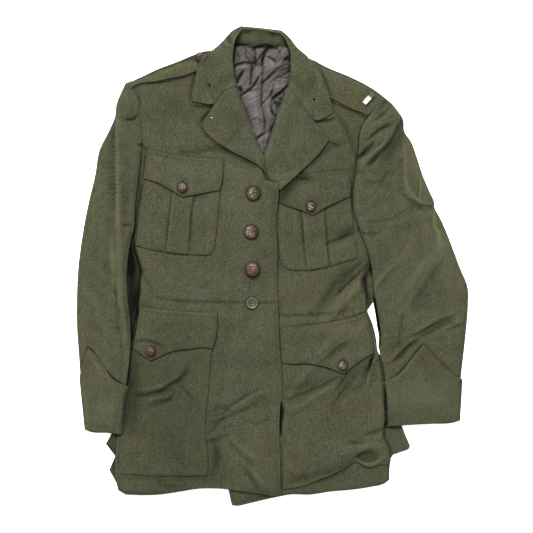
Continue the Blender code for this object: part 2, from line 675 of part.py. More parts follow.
def add_rank_bar():
    """A small enamelled bar across the shoulder strap."""
    base = top_near(*BAR_CENTRE, BAR_SIZE[0] / 2) + GAP
    mesh = bpy.data.meshes.new("rank_bar")
    box = bmesh.new()
    bmesh.ops.create_cube(box, size=1.0)
    bmesh.ops.scale(box, vec=[length * MM for length in BAR_SIZE], verts=box.verts)
    box.to_mesh(mesh)
    box.free()
    obj = add_object("rank_bar", mesh, "enamel")
    obj.location = (BAR_CENTRE[0] * MM, BAR_CENTRE[1] * MM, (base + BAR_SIZE[2] / 2) * MM)
    obj.rotation_euler = (0, 0, math.radians(BAR_TURN))
    bevel = obj.modifiers.new("Edges", "BEVEL")
    bevel.width = BAR_EDGE * MM
    bevel.segments = 1


def main():
    global tunic
    clear_scene()
    tunic = bpy.data.collections.new("military_dress_tunic")
    bpy.context.scene.collection.children.link(tunic)
    add_back_and_lining()
    add_front("right", FRONT_RIGHT, UNDERARM_RIGHT, ("right",), "right")
    add_pockets("right", CHEST_POCKET_RIGHT, CHEST_FLAP_RIGHT, LOWER_POCKET_RIGHT, LOWER_FLAP_RIGHT)
    columns = spread(6, LAPEL_WIDTH, close_low=True)
    add_flat_piece("lapel_right", LAPEL_RIGHT, SERGE, columns, spread(9), rolled=("left",))
    add_front("left", FRONT_LEFT, UNDERARM_LEFT, ("left",), "left")
    add_pockets("left", CHEST_POCKET_LEFT, CHEST_FLAP_LEFT, LOWER_POCKET_LEFT, LOWER_FLAP_LEFT)
    columns = spread(6, LAPEL_WIDTH, close_high=True)
    add_flat_piece("lapel_left", LAPEL_LEFT, SERGE, columns, spread(9), rolled=("right",))
    add_flat_piece("shoulder_strap_left", STRAP_LEFT, TURNED, spread(9), spread(3))
    add_flat_piece("shoulder_strap_right", STRAP_RIGHT, TURNED, spread(9), spread(3))
    add_to_pile(add_button("strap_button_left", *STRAP_BUTTON))
    add_rank_bar()
    add_sleeve("left", SLEEVE_LEFT, ARMHOLE_LEFT, SEAM_SHIFT_LEFT, UNDERARM_LEFT)
    add_sleeve("right", SLEEVE_RIGHT, ARMHOLE_RIGHT, SEAM_SHIFT_RIGHT, UNDERARM_RIGHT)
    add_cuff("left", CUFF_LEFT)
    add_cuff("right", CUFF_RIGHT)
    add_collar()
    add_hanger_loop()
    for name, (x, y, kind) in BUTTONS.items():
        add_button(name, x, y, kind, "plastic" if kind is PLAIN_BUTTON else "bronze")


main()
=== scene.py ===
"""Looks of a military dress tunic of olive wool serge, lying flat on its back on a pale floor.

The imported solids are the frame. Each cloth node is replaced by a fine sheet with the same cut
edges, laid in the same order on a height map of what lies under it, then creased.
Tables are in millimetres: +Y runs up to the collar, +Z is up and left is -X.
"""

import json
import math

import bmesh
import bpy
import numpy as np
from mathutils import Matrix, Vector

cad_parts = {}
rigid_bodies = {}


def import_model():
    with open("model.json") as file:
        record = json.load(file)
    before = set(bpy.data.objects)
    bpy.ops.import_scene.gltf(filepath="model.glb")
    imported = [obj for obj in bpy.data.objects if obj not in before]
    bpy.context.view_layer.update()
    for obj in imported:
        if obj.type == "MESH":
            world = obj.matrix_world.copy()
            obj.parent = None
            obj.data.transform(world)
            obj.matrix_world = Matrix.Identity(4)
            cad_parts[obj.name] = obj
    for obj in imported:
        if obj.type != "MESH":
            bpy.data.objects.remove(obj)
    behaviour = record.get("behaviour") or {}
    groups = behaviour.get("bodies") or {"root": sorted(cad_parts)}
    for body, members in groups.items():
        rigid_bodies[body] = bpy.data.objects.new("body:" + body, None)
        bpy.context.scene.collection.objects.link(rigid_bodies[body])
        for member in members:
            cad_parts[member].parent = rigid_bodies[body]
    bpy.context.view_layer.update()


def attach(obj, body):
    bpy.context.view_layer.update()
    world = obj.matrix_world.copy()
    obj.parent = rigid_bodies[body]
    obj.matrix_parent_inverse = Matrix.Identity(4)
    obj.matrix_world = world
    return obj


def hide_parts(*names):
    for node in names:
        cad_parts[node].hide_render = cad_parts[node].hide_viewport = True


MM = 0.001

# Thickness of the cloth, as the solids have it
SERGE = 2.2
TURNED = 1.6
CUFF_CLOTH = 1.3
POCKET_CLOTH = 1.2
SATIN = 1.0

# Walls of the visible sheets
SHELL = 0.9
BACK_SHELL = 1.7
SATIN_SHELL = 0.5
TAPE_SHELL = 0.3

# Sides of the grid cells
CELL = 2.3
WIDE_CELL = 2.5  # on the fronts
FINE_CELL = 1.7  # where a piece has sharp creases or pleats
STRAP_CELL = 1.6
SATIN_CELL = 1.3
COARSE = 6.0  # where little of a piece shows
LIPS = (0.6, 1.4, 2.2, 3.0, 3.8)  # grid lines close to a cut edge

# How cloth lies on what is under it
GAP = 0.35
REACH = 19.0  # what stiff cloth spans over a step
CUFF_REACH = 5.6
STRAP_REACH = 4.5
SOFTENING = 3  # passes of blurring after that
FRONT_FULLNESS = 2.6
SLEEVE_FULLNESS = 2.8
FADE = 45.0  # distance from an edge over which a panel fills out
ROLLED_START = 12.0  # how much of that a rolled edge has behind it
CALM = 0.35  # share of the low waves that is left at an edge
CALM_REACH = 18.0

# Edges
TURN_RADIUS = 1.7  # of a turned and pressed edge
ROLL = 9.0  # radius of an edge that rolls over
FOOT = 0.5  # height of an edge over what it rests on
ROLLED_FOOT = 1.6
SEAM_DIP = 1.0  # how far a sewn edge sinks into its seam
SEAM_RADIUS = 4.0
JOIN_DIP = 0.2  # how far an edge sinks into the piece that it is joined to
TUCK = 6.0  # how far the under sleeve stays behind the top one
DITCH_DEPTH = 0.35  # beside a row of topstitching
DITCH_WIDTH = 0.8

# Lines and creases
HARD_TURN = 32.0  # degrees; an outline keeps a corner where it turns more
STEPS_PER_ROW = 12
CREASE_START = 0.12  # where along a half sine a crease starts and, at its far end, stops
CREASE_FADE = 0.7
PITCHES = (0.7, 1.5)  # spread of the wavelengths in a field of waves
CRINKLED_PATCHES = (1.7, 1.2)  # their wavelength, in wavelengths of the crinkles, and strength

# The height map of what already lies there
MAP_CELL = 1.0
MAP_LOW = (-352.0, -426.0)
MAP_SIZE = (705, 853)
SPLAT = 4  # points across a grid cell when a sheet is added to the map

# Wear and painted shade, worked out from the finished pile
RIDGE_BLUR = 10  # passes of blurring that a ridge stands out from
RIDGE_GAIN = 1.3
RIDGE_WEAR = 0.35
NARROW_BLUR = 9  # a hollow's surroundings, close by and further off
WIDE_BLUR = 60
NARROW_SHADE = 0.45  # per mm that a place lies below them
WIDE_SHADE = 0.14
NARROW_FREE = 0.5  # mm that cost nothing
WIDE_FREE = 0.6
DEEPEST = 1.3

OTHER = {"left": "right", "right": "left"}

# The back and the lining: seed, wavelength and height of their waves
BACK_HEIGHT = 2.0
BACK_WAVES = (3, 60, 0.12)
LINING_FULLNESS = 2.6
LINING_WAVES = (11, 40, 0.9)
LINING_CRINKLES = ((21, 55.0), (31, 110.0), (41, 20.0), (51, 80.0))  # seed and turn
CRINKLE = (16, 0.20, -0.7)  # wavelength, width and depth

# Flaps stand off in the middle and are held at the top and the ends
FLAP_LIFT = 0.9
FLAP_HINGE = 20.0
FLAP_END = 14.0
FLAP_END_SHARE = 0.3
PLEAT_RISE = 1.3
PLEAT_EDGE = 1.6
ROWS_LEFT_OUT = 8  # at the top of the under sleeves, where nothing of them shows

# Collar: seed, wavelength and height of its waves, and passes of settling and blurring
STAND_ROWS = 14
STAND_RUN = 130
STAND_WAVES = (5, 24, 0.4)
FALL_WIDTH = 75
FALL_RUN = 300
FALL_WAVES = (6, 50, 0.3)
FALL_SETTLING = 60
FALL_SOFTENING = 16
FALL_INSET = 3.0
NOTCH_SOFTNESS = 0.06
SEWN_GAP = 0.3
SEWN_SETTLING = 90
SEWN_REACH = 34.0

# Rows of stitches on a panel: side, inset, and the shares of the side where they start and end
FLAP_ROWS = (("left", 3.0, 0.02, 0.98), ("bottom", 3.0, 0.02, 0.98), ("right", 3.0, 0.02, 0.98),
             ("top", 2.0, 0.02, 0.98), ("top", 6.0, 0.03, 0.97))
POCKET_ROWS = (("left", 2.4, 0.02, 0.75), ("bottom", 2.4, 0.03, 0.97), ("right", 2.4, 0.02, 0.75))
LAPEL_ROWS = {
    "left": (("bottom", 3.0, 0.02, 0.93), ("left", 3.0, 0.05, 0.95)),
    "right": (("bottom", 3.0, 0.25, 0.98), ("right", 3.0, 0.05, 0.95)),
}
FRONT_ROWS = (("right", 3.0, 0.0, 0.60),)
STITCH_LENGTH = 2.6
STITCH_PITCH = 3.4
STITCH_HALF = (0.32, 0.22)  # half width and half height
# Across a stitch at four places along it: place (of the half length), size and height
STITCH_RINGS = ((-1.0, 0.3, -0.15), (-0.6, 1.0, 0.05), (0.6, 1.0, 0.05), (1.0, 0.3, -0.15))
STITCH_SECTION = ((-1, -0.3), (-0.7, 0.8), (0.7, 0.8), (1, -0.3))
# Lines, material, half width and half height, and length
SMALL_THINGS = {
    # Buttonholes and pin holes are near black slivers laid on the cloth: painted shade where the
    # holes are
    "buttonholes": ((((-152, 141), (-149, 147)), ((65, 107), (65, 114)),
                     ((119, -160), (119, -153))), "dark", (0.5, 0.25), 5.0),
    "pin_holes": ((((-106.2, 303.8), (-106.2, 307.6)), ((71, 279.8), (71, 283.6))),
                  "dark", (1.9, 0.6), 3.8),
    "specks": ((((-233, 315), (-230, 316.5)), ((-228.5, 317), (-225.5, 318.5))),
               "dark", (0.9, 0.3), 3.0),
    "lint": ((((-105, 251), (-100, 252)),), "lint", (0.5, 0.3), 3.6),
    "lint_hairs": ((((-154, 206.5), (-150, 211.5)),), "button_thread", (0.35, 0.2), 4.0),
}
BUTTON_THREADS = ((((-36, -60.4), (-31.4, -60.4)), ((-36, -64.4), (-31.4, -64.4))),
                  "button_thread", (0.5, 0.4), 4.6)

# Hanger loop, buttons and bar
LOOP_RINGS = 34
LOOP_SIDES = 12
LOOP_END = 0.6  # how thick its ends are, as a share of its full size
LOOP_END_SHARE = 0.1  # of its length, over which it would thicken from nothing to full size
RIM = 0.92  # where a button's rim is, as a share of its radius
RIM_WIDTH = 0.08
RELIEF_SOFTNESS = 0.1  # share of the radius over which the relief ends
SKY_TURN = 1.9  # radians; the side that the light falls from, where the buttons get a painted highlight
SKY_SPREAD = 0.3  # radians that it moves by from one button to the next
TARNISH_SPREAD = 0.12  # how much redder one side of a button is
BUTTON_RINGS = 30
BUTTON_SIDES = 72
BAR_BEVEL = 0.5
BAR_RIM = 0.7
BAR_SINK = 0.25
BAR_ORDER = (1.0, 3.7, 13.9)  # the direction along which its faces are listed
BAR_REFLECTION_END = 3.5  # how far past its middle the bar carries its painted white reflection

# Colours
WHITE = (1, 1, 1, 1)
WOOL_DARK = (0.0165, 0.0178, 0.0095, 1)
WOOL_COOL = (0.0548, 0.0608, 0.0385, 1)
WOOL_WARM = (0.0612, 0.0578, 0.0300, 1)
WOOL_WORN = (0.0800, 0.0785, 0.0420, 1)
# Paler wool, partly sun-bleaching and partly painted highlight, and near black wool for painted
# shade
WOOL_FADED_AND_LIT = (0.0660, 0.0645, 0.0350, 1)
WOOL_PAINTED_SHADE = (0.0018, 0.0019, 0.0012, 1)
SATIN_DARK = (0.030, 0.0265, 0.0250, 1)
SATIN_PALE = (0.076, 0.068, 0.064, 1)
# Near black satin for painted shade, paler satin for painted highlights, and black for the painted
# shade deep in creases
SATIN_PAINTED_SHADE = (0.004, 0.0035, 0.003, 1)
SATIN_LIT = (0.095, 0.088, 0.080, 1)
SATIN_PAINTED_DEEP_SHADE = (0.002, 0.002, 0.0015, 1)
BRONZE_BROWN = (0.012, 0.009, 0.006, 1)
BRONZE_RED = (0.055, 0.015, 0.009, 1)
# Pale bronze from rubbing on the leaves and as painted highlight on the side toward the light
RUBBED_AND_LIT_PALE = (0.31, 0.285, 0.23, 1)
RUBBED_AND_LIT_RED = (0.42, 0.27, 0.20, 1)
PLASTIC_DARK = (0.012, 0.014, 0.007, 1)
PLASTIC_PALE = (0.105, 0.112, 0.070, 1)
# The bar's white is a painted reflection; the brown is its own colour
BAR_REFLECTION_WHITES = ((0.30, 0.30, 0.28, 1), (0.50, 0.50, 0.48, 1))
BAR_BROWNS = ((0.030, 0.024, 0.018, 1), (0.080, 0.068, 0.052, 1))
# Two colours that a thread varies between, and its specular level
THREADS = {
    "thread": ((0.014, 0.015, 0.008, 1), (0.045, 0.048, 0.027, 1), 0.1),
    "tape": ((0.016, 0.014, 0.010, 1), (0.040, 0.034, 0.026, 1), 0.1),
    "dark": ((0.001, 0.001, 0.001, 1), (0.005, 0.004, 0.003, 1), 0.0),
    "button_thread": ((0.110, 0.120, 0.050, 1), (0.210, 0.220, 0.110, 1), 0.1),
    "lint": ((0.42, 0.42, 0.40, 1), (0.62, 0.62, 0.60, 1), 0.1),
}
SLEEVE_GRAIN = 24.0  # degrees that the sleeves' weave is turned

# Stage and camera, in metres and watts
FLOOR_HALF = 4.0
FLOOR_COLOUR = (0.96, 0.96, 0.96, 1)
FLOOR_GLOW = 0.35
FLOOR_ROUGHNESS = 0.9
SKY_STRENGTH = 1.15
KEY_PLACE = (-1.4, 4.9, 4.5)
KEY_SIZE = 2.4
KEY_POWER = 1020.0
CAMERA_HEIGHT = 2.4
FRAME_WIDTH = 0.9061
CAMERA_AIM = (-0.0099, -0.0003)
SENSOR = 36.0  # mm

pile = np.zeros(MAP_SIZE)
materials = {}
shaded = []  # each cloth mesh with its surface, for the paling of ridges and the painted shade that are worked out last


def panel(bottom, top, left=(), right=()):
    """The four edges of a panel, where left and right are given without their shared ends."""
    return {
        "bottom": bottom,
        "left": (bottom[0], *left, top[0]),
        "right": (bottom[-1], *right, top[-1]),
        "top": top,
    }


# Outlines

ARMHOLE_LEFT = ((-222, 211), (-223, 244), (-227, 266), (-226, 278), (-231, 290), (-238, 305))
ARMHOLE_RIGHT = ((146, 198), (147, 218), (152, 237), (163, 254), (181, 275), (193, 285))
UNDERARM_LEFT = 202
UNDERARM_RIGHT = 188

# Edges run left to right and from the hem up.
BACK = panel(
    bottom=((-261, -377), (-208, -381), (-123, -373), (-55, -377), (13, -380), (98, -375),
            (166, -367), (193, -359)),
    left=((-267, -364), (-277, -346), (-267, -322), (-283, -301), (-271, -280), (-262, -227),
          (-256, -142), (-255, -57), (-256, 7), (-248, 65), (-242, 125), (-238, 175), (-230, 206),
          (-225, 244), (-228, 268), (-227, 284)),
    right=((197, -333), (205, -320), (231, -311), (234, -305), (220, -271), (202, -219),
           (188, -163), (178, -142), (171, -115), (162, -90), (161, -75), (171, -60), (176, -48),
           (176, -6), (176, 28), (178, 87), (172, 143), (158, 181), (154, 198), (155, 218),
           (160, 237), (170, 254), (184, 272)),
    top=((-233, 308), (-222, 315), (-181, 332), (-140, 350), (-103, 360), (-78, 372), (-60, 381),
         (-41, 384), (-18, 384), (5, 381), (20, 374), (32, 361), (54, 349), (98, 330), (132, 315),
         (166, 296), (190, 280)),
)
LINING = panel(
    bottom=((-18, 174), (-11, 174)),
    left=((-38, 203), (-58, 252), (-74, 303), (-79, 342)),
    right=((5, 205), (23, 254), (42, 303), (45, 337)),
    top=((-74, 370), (-58, 373), (-41, 375), (-18, 377), (10, 376), (38, 366)),
)
FRONT_RIGHT = {
    "bottom": ((-69, -406), (-62, -407), (-40, -403), (-19, -398), (13, -391), (30, -388),
               (64, -388), (98, -383), (132, -380), (166, -375), (192, -368), (199, -362)),
    "left": ((-69, -406), (-73, -389), (-72, -312), (-74, -142), (-77, -57), (-77, 28),
             (-74, 104), (-55, 137), (-13, 186), (3, 221), (14, 257), (28, 296), (37, 326),
             (38, 350)),
    "right": ((199, -362), (199, -343), (201, -324), (198, -307), (190, -295), (189, -271),
              (196, -248), (197, -224), (193, -180), (186, -156), (178, -142), (177, -129),
              (170, -97), (161, -74), (157, -40), (154, -23), (163, -5), (172, 24), (180, 62),
              (183, 104), (173, 147), (147, 186))
             + ARMHOLE_RIGHT,
    "top": ((38, 350), (56, 351), (71, 350), (81, 344.5), (97, 336.5), (132, 322), (166, 304.5),
            (183, 293), (193, 285)),
}
FRONT_LEFT = {
    "bottom": ((-249, -388), (-225, -389), (-191, -388), (-157, -383), (-123, -378), (-89, -378),
               (-55, -381), (-21, -385), (7, -390), (15, -389)),
    "left": ((-249, -388), (-262, -380), (-266, -360), (-266, -321), (-263, -287), (-256, -227),
             (-242, -134), (-231, -71), (-228, -40), (-225, -11), (-236, 35), (-230, 87),
             (-221, 147), (-216, 176), (-213, 198)) + ARMHOLE_LEFT + ((-237, 315),),
    "right": ((15, -389), (14, -346), (13, -248), (16, -210), (12, -124), (10, -62), (8, -18),
              (9, 31), (6, 70), (11, 128), (10, 141), (-12, 146), (-22, 180), (-41, 231),
              (-60, 290), (-72, 331), (-74, 356)),
    "top": ((-237, 316), (-223, 323), (-197, 336), (-159, 351.5), (-128, 365), (-114, 369.5),
            (-100, 370.5), (-74, 361)),
}
LAPEL_LEFT = panel(
    bottom=((-121, 237), (-106, 220), (-72, 196), (-38, 179), (-18, 166), (-4, 145)),
    left=((-110, 255),),
    right=((-12, 169), (-15, 187), (-28, 215), (-40, 250), (-53, 286)),
    top=((-99, 273), (-90, 297), (-62, 314)),
)
LAPEL_RIGHT = panel(
    bottom=((-24, 160), (-6, 138), (13, 128), (50, 162), (83, 195), (96, 213)),
    left=((-16, 184), (-7, 210), (4, 245), (18, 286)),
    right=((91, 221),),
    top=((30, 314), (46, 294), (60, 270), (71, 245)),
)
CHEST_POCKET_LEFT = panel(
    bottom=((-231, 35), (-208, 29), (-172, 23), (-146, 20), (-105, 19)),
    left=((-226, 87), (-216, 147)),
    right=((-100, 29), (-94, 66), (-90, 111)),
    top=((-212, 167), (-148, 160), (-86, 160)),
)
CHEST_FLAP_LEFT = panel(
    bottom=((-218, 148), (-190, 139), (-164, 124), (-151, 117), (-135, 120), (-88, 129)),
    right=((-84, 150),),
    top=((-211, 198), (-176, 191), (-130, 185), (-82, 182)),
)
CHEST_POCKET_RIGHT = panel(
    bottom=((22, -5), (46, -7), (78, -4), (113, 5), (141, 13)),
    left=((15, 7), (12, 29), (11, 75)),
    right=((145, 18), (140, 45), (135, 87)),
    top=((14, 130), (73, 133), (131, 138)),
)
CHEST_FLAP_RIGHT = panel(
    bottom=((12, 107), (29, 101), (50, 94), (68, 86), (98, 103), (132, 118)),
    right=((132, 140),),
    top=((13, 152), (45, 156), (91, 161), (125, 165)),
)
LOWER_POCKET_LEFT = panel(
    bottom=((-258, -351), (-224, -354), (-157, -355), (-111, -355)),
    left=((-260, -321), (-256, -278), (-247, -210), (-235, -134)),
    right=((-109, -338), (-112, -292), (-113, -261), (-108, -210), (-104, -156)),
    top=((-229, -108), (-165, -112), (-97, -108)),
)
LOWER_FLAP_LEFT = panel(
    bottom=((-236, -139), (-227, -145), (-206, -160), (-190, -153), (-170, -144), (-142, -140),
            (-111, -138), (-101, -140)),
    left=((-229, -101),),
    right=((-96.5, -127), (-94, -108)),
    top=((-224, -67), (-190, -73), (-157, -76), (-93, -78)),
)
LOWER_POCKET_RIGHT = panel(
    bottom=((18, -378), (45, -374), (75, -363), (117, -345), (141, -331), (149, -334), (158, -340),
            (170, -340), (178, -337), (199, -336)),
    left=((17, -278), (19, -210)),
    right=((197, -307), (190, -295), (189, -271), (195, -248), (196, -224), (192, -180),
           (185, -156), (177, -142), (176, -129)),
    top=((16, -134), (81, -129), (172, -114)),
)
LOWER_FLAP_RIGHT = panel(
    bottom=((16, -163), (29, -165), (60, -165), (92, -171), (121, -182), (139, -167), (172, -146)),
    right=((166, -108),),
    top=((14, -103), (46, -100), (98, -93), (132, -87), (158, -78)),
)
STRAP_LEFT = panel(
    bottom=((-238, 304), (-222, 310), (-197, 312), (-176, 317), (-146, 323), (-125, 332),
            (-108, 341)),
    top=((-236, 314), (-223, 318), (-197, 331), (-160, 347), (-143, 350), (-126, 352), (-109, 355)),
)
STRAP_RIGHT = panel(
    bottom=((81, 293), (99, 284), (122, 272), (137, 265), (149, 261), (162, 255)),
    top=((74, 330), (97, 332), (115, 325), (140, 314), (161, 302), (182, 288), (190, 282)),
)
SLEEVE_LEFT = {
    "outer": ((-317, -277), (-319, -261), (-320, -227), (-325, -193), (-329, -146), (-332, -100),
              (-332, -50), (-330, -6), (-324, 43), (-313, 104), (-301, 155), (-293, 199),
              (-279, 227), (-267, 256), (-265, 274), (-257, 295), (-249, 311.5)),
    "inner": ((-257, -284), (-254, -261), (-251, -227), (-246, -193), (-240, -146), (-240, -100),
              (-245, -50), (-246, -6), (-239, 45), (-234.5, 62), (-232.5, 84), (-232, 104),
              (-226, 155), (-222, 199))
             + ARMHOLE_LEFT + ((-237, 316),),
}
SLEEVE_RIGHT = {
    "outer": ((316, -262), (318, -222), (321, -180), (325, -146), (329, -108), (332, -71),
              (331, -32), (321, -8), (307, 29), (295, 60), (284, 84), (276, 99), (275, 109),
              (268, 125), (254, 159),
              (246, 184), (236, 211), (224, 230), (222, 250), (213, 264), (203, 277)),
    "inner": ((195, -271), (193, -222), (189, -180), (182, -146), (184, -120), (183, -106),
              (181, -91), (178, -74), (175, -57), (172, -37), (169, -6), (160, 28), (148, 60),
              (137, 94), (135, 125), (140, 157), (142, 180)) + ARMHOLE_RIGHT,
    "under_inner": ((201, -271), (199, -222), (195, -180), (184, -150), (181, -140),
                    (181, -118), (178, -103), (176, -88), (173, -70), (171, -58), (172, -46),
                    (175, -6), (166, 28), (154, 60), (143, 94), (141, 125), (146, 157),
                    (148, 180), (152, 198), (153, 218), (158, 237), (169, 254), (187, 275),
                    (199, 285)),
}
CUFF_LEFT = panel(
    bottom=((-319, -277), (-310, -281), (-275, -283), (-255, -285)),
    left=((-322, -248), (-325, -220)),
    right=((-251, -261), (-248, -222)),
    top=((-328, -189), (-319, -156), (-311, -139), (-300, -149), (-284, -172), (-268, -192),
         (-244, -204)),
)
CUFF_RIGHT = panel(
    bottom=((192, -273), (220, -270), (268, -268), (310, -265), (319, -262)),
    left=((190, -236),),
    right=((321, -227),),
    top=((186, -197), (213, -183), (234, -159), (256, -133), (277, -156), (295, -176), (323, -192)),
)

# Collar sections from the left front end round the neck: the roll line, two points down the
# fall, and the outer edge, all (x, y, z).
FALL_SECTIONS = (
    ((-59, 306, 14), (-84, 295, 11), (-99, 274, 10), (-135, 279, 9)),
    ((-62, 315, 16), (-84, 307, 13), (-108, 297, 11), (-135, 293, 9)),
    ((-64, 325, 17), (-86, 321, 14), (-108, 314, 11), (-132, 307, 9)),
    ((-67, 347, 18), (-86, 345, 15), (-106, 343, 12), (-125, 341, 10)),
    ((-66, 366, 18), (-83, 367, 16), (-99, 365, 12), (-113, 361, 8)),
    ((-63, 381, 18), (-77, 385, 13), (-87, 379, 7), (-84, 374, 1)),
    ((-57, 393, 17), (-68, 398, 12), (-71, 393, 6), (-65, 382, 1)),
    ((-50, 401, 16), (-53, 406, 12), (-54, 405, 6), (-50, 386, 1)),
    ((-18, 399, 15), (-18, 403, 11), (-18, 402, 6), (-18, 384, 1)),
    ((12, 394, 16), (15, 399, 12), (16, 397.5, 6), (11, 382, 1)),
    ((21, 385, 17), (28, 388, 12), (28, 386, 6), (22, 378, 1)),
    ((27, 372, 18), (36, 374, 14), (40, 370, 7), (36, 367, 1)),
    ((31, 359, 18), (43, 360, 15), (58, 357, 11), (67, 351, 8)),
    ((31, 342, 18), (46, 339, 15), (62, 335, 12), (78, 332, 10)),
    ((30, 322, 17), (50, 317, 14), (71, 311, 11), (90, 305, 9)),
    ((28, 313, 16), (47, 302, 13), (73, 290, 11), (98, 283, 9)),
    ((27, 306, 14), (41, 286, 11), (71, 247, 10), (105, 260, 9)),
)
FALL_ON_CLOTH_BELOW_Y = 366
NOTCH_SHARE = 0.64  # of the way from the roll line to the fall's outer edge
STAND_SECTIONS = (
    ((-69, 374, 5), (-66, 386, 12), (-66, 390, 15)),
    ((-52, 376, 5), (-55, 395, 11), (-57, 403, 16)),
    ((-41, 373, 5), (-41, 396, 10), (-42, 404, 15)),
    ((-33, 370, 5), (-30, 394, 10), (-30, 403, 15)),
    ((-18, 373, 5), (-18, 393, 10), (-18, 401, 15)),
    ((5, 373, 5), (6, 390, 10), (6, 398, 15)),
    ((14, 373, 5), (15, 386, 11), (18, 394, 16)),
    ((34, 364, 5), (32, 376, 12), (33, 382, 15)),
)
LOOP_LINE = ((-36, 371), (-30, 374), (-24, 376), (-16, 378), (-9, 378), (-2, 376), (4, 374),
             (9, 371))
LOOP_WIDTH = 2.2
LOOP_HEIGHT = 4.6

